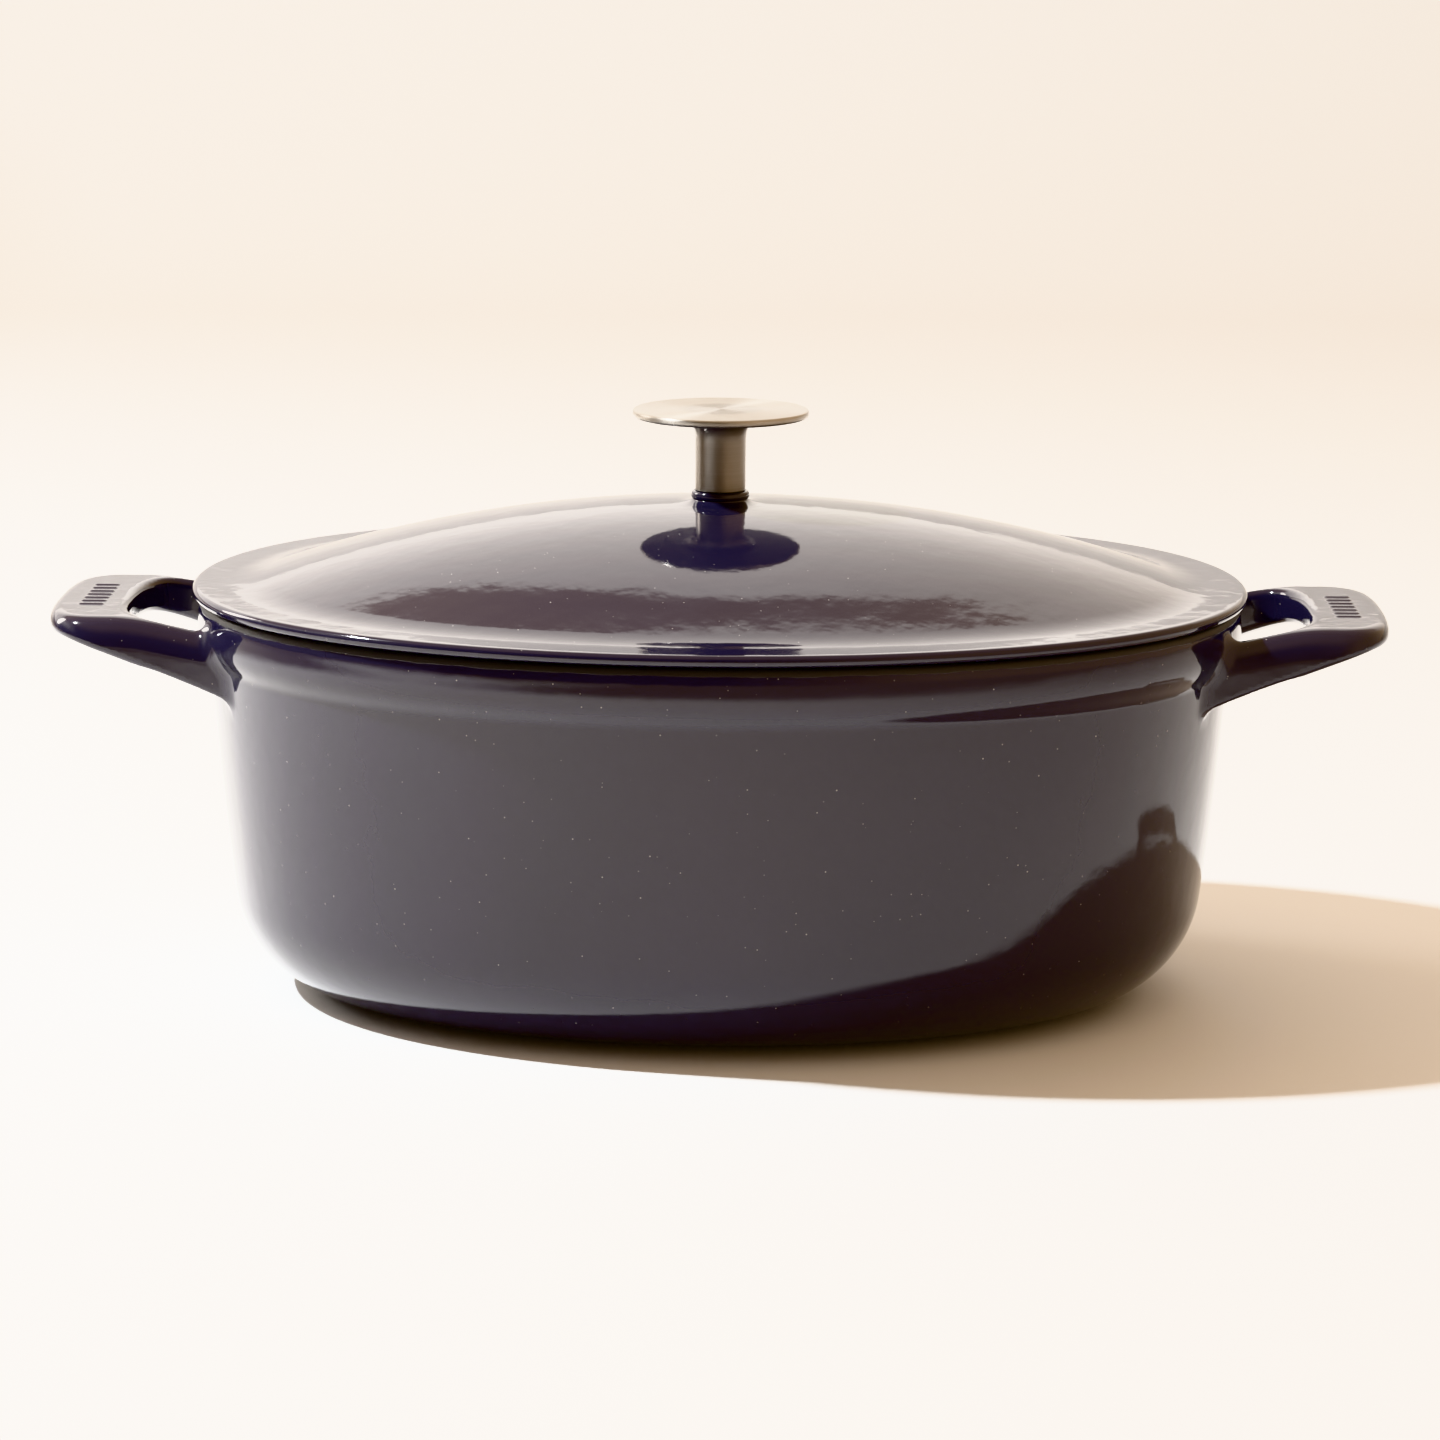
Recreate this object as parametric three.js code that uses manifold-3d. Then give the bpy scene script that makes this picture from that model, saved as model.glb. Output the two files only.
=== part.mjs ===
// Oval enamelled cast-iron dutch oven: a pot with two cast loop handles, a domed lid that
// lifts off, and a turned steel knob held on the lid by a screw and two washers.
// Millimetres, +Z up. +X runs along the length, from handle to handle. The origin is on the
// table, under the middle of the pot.

import * as THREE from 'three';
import { mergeVertices } from 'three/addons/utils/BufferGeometryUtils.js';
import Module from 'manifold-3d';

const wasm = await Module();
wasm.setup();

// ---- Oval plan ---------------------------------------------------------------------------
// The plan is given by how far it reaches in each direction p:
//   reach(p) = mean + STRETCH * cos(2p) + FULLNESS * cos(4p)
// Adding a number to the reach moves the whole outline out by that much, so every oval of the
// pot and of the lid's brim runs parallel to the next. Each is named by its half-length on X.
const LID_HALF_LENGTH = 174;
const LID_HALF_WIDTH = 134;
const STRETCH = (LID_HALF_LENGTH - LID_HALF_WIDTH) / 2;
const FULLNESS = -1.9;
const AROUND = 72; // facets round each oval
const CURVE_STEPS = 3; // facets along each bend of a profile
const DOME_STEPS = 8; // facets up each face of the dome
const TURNED_FACETS = 32; // facets round small turned pieces

// ---- Pot ---------------------------------------------------------------------------------
const RIM_TOP = 131;
const RIM_OUTER = 170; // half-lengths of the flat seat on the rim
const RIM_INNER = 166.2;
const MOUTH = 165.4;
const MOUTH_BEVEL = 2;
const COLLAR = 172.3; // half-length of the thickened band round the rim
const COLLAR_SHOULDER = 171.9;
const COLLAR_ROUND_START = 122; // heights up the band
const COLLAR_ROUND_MIDDLE = 127;
const COLLAR_LOW = 115.5;
const COLLAR_FOOT = 110.5; // height at which the band has run out into the wall
const COLLAR_FOOT_EASE = 3;
const WALL_TOP = 168.2; // half-length of the outer wall under the band
const WALL_THICKNESS = 3.9;
const HEEL_CENTRE = 123.8; // the round bottom edge, as the middle and radius of its arc
const HEEL_HEIGHT = 38;
const HEEL_RADIUS = 37.5;
const DRAFT_AT_HEEL = THREE.MathUtils.degToRad(7);
const FOOT_HALF_LENGTH = 126; // ground flat foot
const FOOT_STEP = 0.7;
const FLOOR_THICKNESS = 4.8;
const CUT_SLACK = 4; // how far a cutting body stands past the face it cuts

// ---- Handles -----------------------------------------------------------------------------
const HANDLE_TIP = 219.6; // how far each handle reaches along X
const HANDLE_TOP = 128.7; // flat top of the grip
const RAIL_TOP = 123; // the two rails slope down to this where they meet the collar
const HANDLE_HALF_WIDTH = 45;
const ROOT_HALF_WIDTH = 56; // the rails flare out into the collar
const ROOT_X = 152;
const FLARE_X = 165;
const FLARE_EASE = 1;
const FLARE_END_X = 188;
const CORNER_X = 206; // where the round tip corners start
const SHOULDER_X = 216.4; // where they end
const SHOULDER_HALF_WIDTH = 36;
const SHOULDER_SLANT = 2.1;
const RAIL_FOOT_X = 157; // the rails' tops are level from the collar to here
const RAIL_RISE_X = 170;
const GRIP_START_X = 186;
const GRIP_X = 196; // the grip's top is level from here to the tip
const UNDERSIDE_X = 163.7; // the underside rises from here towards the tip
const UNDERSIDE_Z = 104.2;
const UNDERSIDE_SLOPE = 0.378;
const UNDERSIDE_END_X = 208;
const NOSE_BEND_X = 212.6; // the underside's bend into the nose
const NOSE_BEND_Z = 122.4;
const NOSE_X = 217.6;
const NOSE_LOW = 122.8;
const NOSE_CORNER = 123.1;
const NOSE_MIDDLE = 125.6;
const NOSE_TOP_X = 215.1;
const GRIP_HOLE_END = 194.4;
const GRIP_HOLE_BEND_X = 172.2; // where the rails start to bend into the grip
const GRIP_HOLE_CORNER_X = 190;
const GRIP_HOLE_HALF_WIDTH = 37.5;
const GRIP_HOLE_CORNER_HALF_WIDTH = 35;
const GRIP_HOLE_END_HALF_WIDTH = 26;
const GRIP_HOLE_ROOT_HALF_WIDTH = 41;
const BLANK_START_X = 145; // the handles' blanks start inside the pot, and are cut off there
const RIB_COUNT = 7; // raised grip ribs on top of each handle
const RIB = { length: 9, width: 2.2, height: 0.6, pitch: 6 };
const RIB_X = 206;

// ---- Lid, measured up from the plane in which it sits on the rim ---------------------------
const SEAT_GAP = 0.2;
const LID_SEAT = 0;
const EDGE_BOTTOM = 0.7;
const BRIM_TOP = 4.4;
const EDGE_RADIUS = (BRIM_TOP - EDGE_BOTTOM) / 2;
const BRIM_INNER = 163; // half-length at which the flat brim starts to rise
const BRIM_BEND = 156.5;
const BRIM_BEVEL = 0.7;
const DOME_FOOT = 150;
const DOME_FOOT_RISE = 2.1;
const CROWN = 30.8;
const LID_THICKNESS = 4;
const SPIGOT_OUTER = 164.1; // ring under the lid that keeps it centred in the mouth
const SPIGOT_WIDTH = 3.2;
const SPIGOT_DEPTH = 5;
const SPIGOT_TAPER = 0.8;
const SPIGOT_ROOT = 1.2;
const SIMILAR_WITHIN = 145; // inside this half-length the dome's ovals keep one proportion
const SIMILAR_BLEND = 0.1;

// ---- Boss, knob and its fixings ------------------------------------------------------------
const BOSS_TOP = 34.6;
const BOSS_RADIUS = 9.5;
const BOSS_SKIRT_RADIUS = 13;
const BOSS_BEAD_RISE = 1.2;
const BOSS_BEAD_ROUND = 0.5;
const SCREW_HOLE_RADIUS = 3.4;
const PAD_HALF_LENGTH = 14; // flat pad under the dome for the washers
const FIT_GAP = 0.1;
const KNOB = {
  discRadius: 29,
  thickness: 2.5,
  height: 26.8,
  stemRadius: 8.4,
  flareRadius: 15,
  flareHeight: 8,
  flareDrop: 0.3,
  underRound: 1,
  topRound: 0.8,
  facets: 48,
};
const KNOB_HOLE_RADIUS = 3.3;
const KNOB_HOLE_DEPTH = 17;
const KNOB_HOLE_POINT = 1.5; // the drill's conical end
const FLAT_WASHER = { inner: 3.3, outer: 8.5, thickness: 1.2 };
const LOCK_WASHER = { inner: 3.3, outer: 5.6, thickness: 1.6, split: 1.2 };
const SCREW = {
  radius: 3,
  reach: 14,
  chamfer: 1,
  headRadius: 6,
  headHeight: 3.6,
  headFlatRadius: 4.5,
  headRound: 1.6,
  recessDepth: 1.8,
  recessWidth: 1.3,
  recessLength: 8,
};

// ---- Solids ------------------------------------------------------------------------------

function toManifold(geometry) {
  const bare = geometry.clone();
  bare.deleteAttribute('normal');
  bare.deleteAttribute('uv');
  const merged = mergeVertices(bare, 1e-4);
  const position = merged.getAttribute('position');
  const index = merged.getIndex().array;
  const triangles = [];
  const corner = [new THREE.Vector3(), new THREE.Vector3(), new THREE.Vector3()];
  let volume = 0;
  for (let i = 0; i < index.length; i += 3) {
    const [a, b, c] = [index[i], index[i + 1], index[i + 2]];
    if (a === b || b === c || c === a) continue;
    [a, b, c].forEach((vertex, k) => corner[k].fromBufferAttribute(position, vertex));
    volume += corner[0].dot(corner[1].cross(corner[2]));
    triangles.push(a, b, c);
  }
  if (volume < 0) triangles.reverse();
  return new wasm.Manifold(new wasm.Mesh({
    numProp: 3,
    vertProperties: Float32Array.from(position.array),
    triVerts: Uint32Array.from(triangles),
  }));
}

function toGeometry(manifold) {
  const mesh = manifold.getMesh();
  const geometry = new THREE.BufferGeometry();
  geometry.setAttribute('position', new THREE.BufferAttribute(mesh.vertProperties, mesh.numProp));
  geometry.setIndex(new THREE.BufferAttribute(mesh.triVerts, 1));
  geometry.computeVertexNormals();
  return geometry;
}

// A round solid about Z from a profile of (radius, height) points.
function turned(points, facets = TURNED_FACETS) {
  const geometry = new THREE.LatheGeometry(points, facets);
  geometry.rotateX(Math.PI / 2);
  return toManifold(geometry);
}

// How much of the full stretch an oval of this half-length has.
function parallelShare() {
  return 1;
}

// Ovals near the brim run parallel; those on the dome are scaled copies of one another.
function domeShare(halfLength) {
  const t = halfLength / SIMILAR_WITHIN;
  if (t <= 1 - SIMILAR_BLEND) return t;
  if (t >= 1 + SIMILAR_BLEND) return 1;
  return 1 - (1 + SIMILAR_BLEND - t) ** 2 / (4 * SIMILAR_BLEND);
}

// An oval solid about Z from a profile of (half-length, height) points.
function ovalTurned(points, share) {
  const geometry = new THREE.LatheGeometry(points, AROUND);
  const position = geometry.getAttribute('position');
  for (let i = 0; i < position.count; i++) {
    const column = Math.floor(i / points.length) % AROUND;
    const p = (column / AROUND) * 2 * Math.PI;
    const { x: halfLength, y: height } = points[i % points.length];
    const k = share(halfLength);
    const mean = halfLength - (STRETCH + FULLNESS) * k;
    const reach = mean + k * (STRETCH * Math.cos(2 * p) + FULLNESS * Math.cos(4 * p));
    const turn = -k * (2 * STRETCH * Math.sin(2 * p) + 4 * FULLNESS * Math.sin(4 * p));
    const onAxis = halfLength === 0;
    const x = onAxis ? 0 : reach * Math.cos(p) - turn * Math.sin(p);
    const y = onAxis ? 0 : reach * Math.sin(p) + turn * Math.cos(p);
    position.setXYZ(i, x, y, height);
  }
  return toManifold(geometry);
}

function box(x, y, z, atX = 0, atY = 0, atZ = 0) {
  const geometry = new THREE.BoxGeometry(x, y, z);
  geometry.translate(atX, atY, atZ);
  return toManifold(geometry);
}

function extruded(shape, depth) {
  return new THREE.ExtrudeGeometry(shape, { depth, bevelEnabled: false, curveSegments: 6 });
}

// ---- Pot ---------------------------------------------------------------------------------

// The heel arc and the slightly bowed wall above it, moved in by `inset` from the outer face.
function heelAndWall(path, inset, startAngle) {
  const radius = HEEL_RADIUS - inset;
  path.absarc(HEEL_CENTRE, HEEL_HEIGHT, radius, startAngle, -DRAFT_AT_HEEL, false);
  const wallStart = {
    x: HEEL_CENTRE + radius * Math.cos(DRAFT_AT_HEEL),
    z: HEEL_HEIGHT - radius * Math.sin(DRAFT_AT_HEEL),
  };
  const bowHeight = (wallStart.z + COLLAR_FOOT) / 2;
  const bow = wallStart.x + (bowHeight - wallStart.z) * Math.tan(DRAFT_AT_HEEL);
  path.quadraticCurveTo(bow, bowHeight, WALL_TOP - inset, COLLAR_FOOT);
}

function potOuterProfile() {
  const footAngle = -Math.acos((FOOT_HALF_LENGTH + FOOT_STEP - HEEL_CENTRE) / HEEL_RADIUS);
  const path = new THREE.Path();
  path.moveTo(0, 0);
  path.lineTo(FOOT_HALF_LENGTH, 0);
  heelAndWall(path, 0, footAngle);
  const footEase = COLLAR_FOOT + COLLAR_FOOT_EASE;
  path.bezierCurveTo(WALL_TOP, footEase, COLLAR, COLLAR_LOW, COLLAR, COLLAR_ROUND_START);
  path.bezierCurveTo(COLLAR, COLLAR_ROUND_MIDDLE, COLLAR_SHOULDER, RIM_TOP, RIM_OUTER, RIM_TOP);
  path.lineTo(0, RIM_TOP);
  return path.getPoints(CURVE_STEPS);
}

function cavityProfile() {
  const path = new THREE.Path();
  const radius = HEEL_RADIUS - WALL_THICKNESS;
  const floorAngle = -Math.asin((HEEL_HEIGHT - FLOOR_THICKNESS) / radius);
  path.moveTo(0, FLOOR_THICKNESS);
  path.lineTo(HEEL_CENTRE + radius * Math.cos(floorAngle), FLOOR_THICKNESS);
  heelAndWall(path, WALL_THICKNESS, floorAngle);
  path.lineTo(MOUTH, RIM_TOP - MOUTH_BEVEL);
  path.lineTo(RIM_INNER, RIM_TOP);
  path.lineTo(RIM_INNER, RIM_TOP + CUT_SLACK);
  path.lineTo(0, RIM_TOP + CUT_SLACK);
  return path.getPoints(CURVE_STEPS);
}

function handlePlan() {
  const tipControl = 2 * HANDLE_TIP - SHOULDER_X;
  const cornerControl = SHOULDER_X - SHOULDER_SLANT;
  const flareHalfWidth = HANDLE_HALF_WIDTH + FLARE_EASE;
  const shape = new THREE.Shape();
  shape.moveTo(BLANK_START_X, -ROOT_HALF_WIDTH);
  shape.lineTo(ROOT_X, -ROOT_HALF_WIDTH);
  shape.quadraticCurveTo(FLARE_X, -flareHalfWidth, FLARE_END_X, -HANDLE_HALF_WIDTH);
  shape.lineTo(CORNER_X, -HANDLE_HALF_WIDTH);
  shape.quadraticCurveTo(cornerControl, -HANDLE_HALF_WIDTH, SHOULDER_X, -SHOULDER_HALF_WIDTH);
  shape.quadraticCurveTo(tipControl, 0, SHOULDER_X, SHOULDER_HALF_WIDTH);
  shape.quadraticCurveTo(cornerControl, HANDLE_HALF_WIDTH, CORNER_X, HANDLE_HALF_WIDTH);
  shape.lineTo(FLARE_END_X, HANDLE_HALF_WIDTH);
  shape.quadraticCurveTo(FLARE_X, flareHalfWidth, ROOT_X, ROOT_HALF_WIDTH);
  shape.lineTo(BLANK_START_X, ROOT_HALF_WIDTH);
  shape.closePath();
  return shape;
}

function gripHolePlan() {
  const corner = [GRIP_HOLE_CORNER_X, GRIP_HOLE_CORNER_HALF_WIDTH];
  const end = [GRIP_HOLE_END, GRIP_HOLE_END_HALF_WIDTH];
  const shape = new THREE.Shape();
  shape.moveTo(BLANK_START_X, -GRIP_HOLE_ROOT_HALF_WIDTH);
  shape.lineTo(GRIP_HOLE_BEND_X, -GRIP_HOLE_HALF_WIDTH);
  shape.bezierCurveTo(corner[0], -corner[1], end[0], -end[1], GRIP_HOLE_END, 0);
  shape.bezierCurveTo(end[0], end[1], corner[0], corner[1], GRIP_HOLE_BEND_X, GRIP_HOLE_HALF_WIDTH);
  shape.lineTo(BLANK_START_X, GRIP_HOLE_ROOT_HALF_WIDTH);
  shape.closePath();
  return shape;
}

// The handle seen from its side, as (along X, height).
function handleSideProfile() {
  const underside = (x) => UNDERSIDE_Z + (x - UNDERSIDE_X) * UNDERSIDE_SLOPE;
  const shape = new THREE.Shape();
  shape.moveTo(BLANK_START_X, underside(BLANK_START_X));
  shape.lineTo(UNDERSIDE_END_X, underside(UNDERSIDE_END_X));
  shape.quadraticCurveTo(NOSE_BEND_X, NOSE_BEND_Z, NOSE_X, NOSE_LOW);
  shape.quadraticCurveTo(HANDLE_TIP, NOSE_CORNER, HANDLE_TIP, NOSE_MIDDLE);
  shape.quadraticCurveTo(HANDLE_TIP, HANDLE_TOP, NOSE_TOP_X, HANDLE_TOP);
  shape.lineTo(GRIP_X, HANDLE_TOP);
  shape.bezierCurveTo(GRIP_START_X, HANDLE_TOP, RAIL_RISE_X, RAIL_TOP, RAIL_FOOT_X, RAIL_TOP);
  shape.lineTo(BLANK_START_X, RAIL_TOP);
  shape.closePath();
  return shape;
}

function handle() {
  const tall = HANDLE_TOP - UNDERSIDE_Z + 4 * CUT_SLACK;
  const plan = extruded(handlePlan(), tall);
  plan.translate(0, 0, HANDLE_TOP + CUT_SLACK - tall);
  const hole = extruded(gripHolePlan(), tall + 2 * CUT_SLACK);
  hole.translate(0, 0, HANDLE_TOP - tall);
  const broad = 2 * (ROOT_HALF_WIDTH + CUT_SLACK);
  const side = extruded(handleSideProfile(), broad);
  side.rotateX(Math.PI / 2);
  side.translate(0, broad / 2, 0);
  let body = toManifold(plan).intersect(toManifold(side)).subtract(toManifold(hole));
  for (let i = 0; i < RIB_COUNT; i++) {
    const y = (i - (RIB_COUNT - 1) / 2) * RIB.pitch;
    body = body.add(box(RIB.length, RIB.width, 2 * RIB.height, RIB_X, y, HANDLE_TOP));
  }
  return body;
}

function potBody() {
  const halfTurn = new THREE.Matrix4().makeRotationZ(Math.PI);
  const right = handle();
  const left = toManifold(toGeometry(right).applyMatrix4(halfTurn));
  return ovalTurned(potOuterProfile(), parallelShare)
    .add(right)
    .add(left)
    .subtract(ovalTurned(cavityProfile(), parallelShare));
}

// ---- Lid ---------------------------------------------------------------------------------

// Points up one face of the dome, from its foot to half-length `end`, where it is level.
function domePoints(foot, top, end) {
  const curve = new THREE.QuadraticBezierCurve(
    new THREE.Vector2(DOME_FOOT, foot),
    new THREE.Vector2(DOME_FOOT / 2, top),
    new THREE.Vector2(end, top),
  );
  return curve.getPoints(DOME_STEPS);
}

function lidProfile() {
  const underBrim = BRIM_TOP - LID_THICKNESS;
  const footTop = BRIM_TOP + DOME_FOOT_RISE;
  const spigotInner = SPIGOT_OUTER - SPIGOT_WIDTH;
  const edgeX = LID_HALF_LENGTH - EDGE_RADIUS;
  const underCrown = CROWN - LID_THICKNESS;
  const underDome = domePoints(footTop - LID_THICKNESS, underCrown, PAD_HALF_LENGTH).reverse();
  const path = new THREE.Path();
  path.moveTo(0, underCrown);
  underDome.forEach(({ x, y }) => path.lineTo(x, y));
  path.quadraticCurveTo(BRIM_BEND, underBrim, spigotInner - SPIGOT_ROOT, LID_SEAT);
  path.lineTo(spigotInner, -SPIGOT_ROOT);
  path.lineTo(spigotInner, -SPIGOT_DEPTH);
  path.lineTo(SPIGOT_OUTER - SPIGOT_TAPER, -SPIGOT_DEPTH);
  path.lineTo(SPIGOT_OUTER, -SPIGOT_DEPTH + SPIGOT_TAPER);
  path.lineTo(SPIGOT_OUTER, LID_SEAT);
  path.lineTo(RIM_OUTER, LID_SEAT);
  path.lineTo(RIM_OUTER + BRIM_BEVEL, EDGE_BOTTOM);
  path.lineTo(edgeX, EDGE_BOTTOM);
  path.absarc(edgeX, BRIM_TOP - EDGE_RADIUS, EDGE_RADIUS, -Math.PI / 2, Math.PI / 2, false);
  path.lineTo(BRIM_INNER, BRIM_TOP);
  path.quadraticCurveTo(BRIM_BEND, BRIM_TOP, DOME_FOOT, footTop);
  domePoints(footTop, CROWN, 0).forEach(({ x, y }) => path.lineTo(x, y));
  return path.getPoints(CURVE_STEPS);
}

// The bead that the knob stands on: a skirt that runs out of the dome, and a rounded ring.
function bossProfile() {
  const buried = CROWN - LID_THICKNESS / 2;
  const beadFoot = CROWN + BOSS_BEAD_RISE;
  const beadMiddle = (beadFoot + BOSS_TOP) / 2;
  const beadEdge = BOSS_RADIUS - BOSS_BEAD_ROUND;
  const path = new THREE.Path();
  path.moveTo(0, buried);
  path.lineTo(BOSS_SKIRT_RADIUS, buried);
  path.quadraticCurveTo(BOSS_RADIUS, CROWN, beadEdge, beadFoot);
  path.quadraticCurveTo(BOSS_RADIUS + BOSS_BEAD_ROUND, beadMiddle, beadEdge, BOSS_TOP);
  path.lineTo(0, BOSS_TOP);
  return path.getPoints(CURVE_STEPS);
}

function lid() {
  const reach = BOSS_TOP - CROWN + LID_THICKNESS + 2 * CUT_SLACK;
  const hole = new THREE.CylinderGeometry(
    SCREW_HOLE_RADIUS,
    SCREW_HOLE_RADIUS,
    reach,
    TURNED_FACETS,
  );
  hole.rotateX(Math.PI / 2);
  hole.translate(0, 0, BOSS_TOP + CUT_SLACK - reach / 2);
  return ovalTurned(lidProfile(), domeShare)
    .add(turned(bossProfile()))
    .subtract(toManifold(hole));
}

// ---- Knob and fixings, each measured up from its own seat -----------------------------------

function knob() {
  const { discRadius, height, stemRadius, flareRadius, underRound, topRound } = KNOB;
  const under = height - KNOB.thickness;
  const flareTop = under - KNOB.flareDrop;
  const path = new THREE.Path();
  path.moveTo(0, KNOB_HOLE_DEPTH + KNOB_HOLE_POINT);
  path.lineTo(KNOB_HOLE_RADIUS, KNOB_HOLE_DEPTH);
  path.lineTo(KNOB_HOLE_RADIUS, 0);
  path.lineTo(stemRadius, 0);
  path.lineTo(stemRadius, under - KNOB.flareHeight);
  path.quadraticCurveTo(stemRadius, flareTop, flareRadius, flareTop);
  path.lineTo(discRadius - underRound, under);
  path.quadraticCurveTo(discRadius, under, discRadius, under + underRound);
  path.lineTo(discRadius, height - topRound);
  path.quadraticCurveTo(discRadius, height, discRadius - topRound, height);
  path.lineTo(0, height);
  return turned(path.getPoints(CURVE_STEPS), KNOB.facets);
}

function washer({ inner, outer, thickness }) {
  const corners = [[inner, 0], [outer, 0], [outer, thickness], [inner, thickness], [inner, 0]];
  return turned(corners.map(([radius, z]) => new THREE.Vector2(radius, z)));
}

function lockWasher() {
  const { outer, thickness, split } = LOCK_WASHER;
  return washer(LOCK_WASHER).subtract(box(2 * outer, split, 4 * thickness, outer, 0, 0));
}

// Pan-head screw standing on its head, with a cross recess in the underside.
function screw() {
  const { radius, chamfer, headRadius, headHeight, recessDepth, recessWidth, recessLength } = SCREW;
  const washers = FLAT_WASHER.thickness + LOCK_WASHER.thickness + 3 * FIT_GAP;
  const tip = headHeight + washers + LID_THICKNESS + (BOSS_TOP - CROWN) + SCREW.reach;
  const path = new THREE.Path();
  path.moveTo(0, 0);
  path.lineTo(SCREW.headFlatRadius, 0);
  path.quadraticCurveTo(headRadius, 0, headRadius, SCREW.headRound);
  path.lineTo(headRadius, headHeight);
  path.lineTo(radius, headHeight);
  path.lineTo(radius, tip - chamfer);
  path.lineTo(radius - chamfer, tip);
  path.lineTo(0, tip);
  return turned(path.getPoints(CURVE_STEPS))
    .subtract(box(recessLength, recessWidth, 2 * recessDepth))
    .subtract(box(recessWidth, recessLength, 2 * recessDepth));
}

// ---- Assembly ----------------------------------------------------------------------------

const enamel = { color: 0x161a3c, roughness: 0.12, metalness: 0 };
const steel = { color: 0xb9b2a8, roughness: 0.3, metalness: 1 };

function piece(name, manifold, finish) {
  const mesh = new THREE.Mesh(toGeometry(manifold), new THREE.MeshStandardMaterial(finish));
  mesh.name = name;
  return mesh;
}

const dutchOven = new THREE.Group();
dutchOven.add(piece('pot_body', potBody(), enamel));

const lidAssembly = new THREE.Group();
lidAssembly.position.z = RIM_TOP + SEAT_GAP;
dutchOven.add(lidAssembly);

lidAssembly.add(piece('lid', lid(), enamel));

const knobPiece = piece('knob', knob(), steel);
knobPiece.position.z = BOSS_TOP + FIT_GAP;
lidAssembly.add(knobPiece);

const underPad = CROWN - LID_THICKNESS;
const flatWasherPiece = piece('flat_washer', washer(FLAT_WASHER), steel);
flatWasherPiece.position.z = underPad - FIT_GAP - FLAT_WASHER.thickness;
lidAssembly.add(flatWasherPiece);

const lockWasherPiece = piece('lock_washer', lockWasher(), steel);
lockWasherPiece.position.z = flatWasherPiece.position.z - FIT_GAP - LOCK_WASHER.thickness;
lidAssembly.add(lockWasherPiece);

const screwPiece = piece('knob_screw', screw(), steel);
screwPiece.position.z = lockWasherPiece.position.z - FIT_GAP - SCREW.headHeight;
lidAssembly.add(screwPiece);

export default dutchOven;
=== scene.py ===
"""Oval enamelled cast-iron dutch oven: the fine surface of the pot, the lid, the knob and its
fixings, their materials, and a plain pale studio.

Shapes are worked out in millimetres and turned to metres when a mesh is made. +X runs along the
length of the pot, from handle to handle, and +Z is up.
"""

import math

import bmesh
import bpy
import numpy as np
from mathutils import Matrix, Vector


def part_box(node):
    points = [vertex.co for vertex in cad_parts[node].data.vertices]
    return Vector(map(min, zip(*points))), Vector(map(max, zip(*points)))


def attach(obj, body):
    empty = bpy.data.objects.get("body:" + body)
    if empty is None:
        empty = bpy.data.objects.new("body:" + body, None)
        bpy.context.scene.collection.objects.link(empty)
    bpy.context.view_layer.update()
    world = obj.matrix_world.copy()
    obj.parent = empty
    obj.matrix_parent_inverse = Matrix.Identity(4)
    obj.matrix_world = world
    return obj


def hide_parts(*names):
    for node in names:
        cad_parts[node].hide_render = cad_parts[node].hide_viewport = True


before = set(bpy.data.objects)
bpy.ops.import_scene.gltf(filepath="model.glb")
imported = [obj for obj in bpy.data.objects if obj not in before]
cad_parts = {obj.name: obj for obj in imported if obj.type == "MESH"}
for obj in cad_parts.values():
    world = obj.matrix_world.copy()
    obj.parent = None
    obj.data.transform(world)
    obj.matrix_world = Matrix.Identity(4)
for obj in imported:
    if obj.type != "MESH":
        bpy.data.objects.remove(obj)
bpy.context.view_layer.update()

MM = 0.001


def cad_size(node):
    """Lowest and highest corner of a CAD node, in millimetres."""
    low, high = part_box(node)
    return np.array(low) / MM, np.array(high) / MM


# ---- Oval plan ----
# An oval is given by how far it reaches in each direction p:
#   reach(p) = mean + STRETCH * cos(2p) + FULLNESS * cos(4p)
# Ovals that differ only in their mean run parallel, and each is named by its half-length on X.

_, LID_HIGH = cad_size("lid")
_, POT_HIGH = cad_size("pot_body")
STRETCH = (LID_HIGH[0] - LID_HIGH[1]) / 2
FULLNESS = -1.9
NEWTON_ROUNDS = 5
LEAST_SLOPE = 1.0


def oval(half_length, angle, share=1.0):
    """The point where the oval of this half-length faces angle. share is its part of the stretch."""
    mean = half_length - (STRETCH + FULLNESS) * share
    reach = mean + share * (STRETCH * np.cos(2 * angle) + FULLNESS * np.cos(4 * angle))
    turn = -share * (2 * STRETCH * np.sin(2 * angle) + 4 * FULLNESS * np.sin(4 * angle))
    x = reach * np.cos(angle) - turn * np.sin(angle)
    y = reach * np.sin(angle) + turn * np.cos(angle)
    return x, y


def oval_coordinates(x, y):
    """The half-length of the oval through each point, and the direction that it faces there."""
    angle = np.arctan2(y / LID_HIGH[1] ** 2, x / LID_HIGH[0] ** 2)
    for _ in range(NEWTON_ROUNDS):
        turn = -(2 * STRETCH * np.sin(2 * angle) + 4 * FULLNESS * np.sin(4 * angle))
        bend = -(4 * STRETCH * np.cos(2 * angle) + 16 * FULLNESS * np.cos(4 * angle))
        miss = y * np.cos(angle) - x * np.sin(angle) - turn
        slope = -x * np.cos(angle) - y * np.sin(angle) - bend
        angle = angle - miss / np.where(np.abs(slope) < LEAST_SLOPE, -LEAST_SLOPE, slope)
    reach = x * np.cos(angle) + y * np.sin(angle)
    mean = reach - STRETCH * np.cos(2 * angle) - FULLNESS * np.cos(4 * angle)
    return mean + STRETCH + FULLNESS, angle


# ---- Outlines ----


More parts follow.
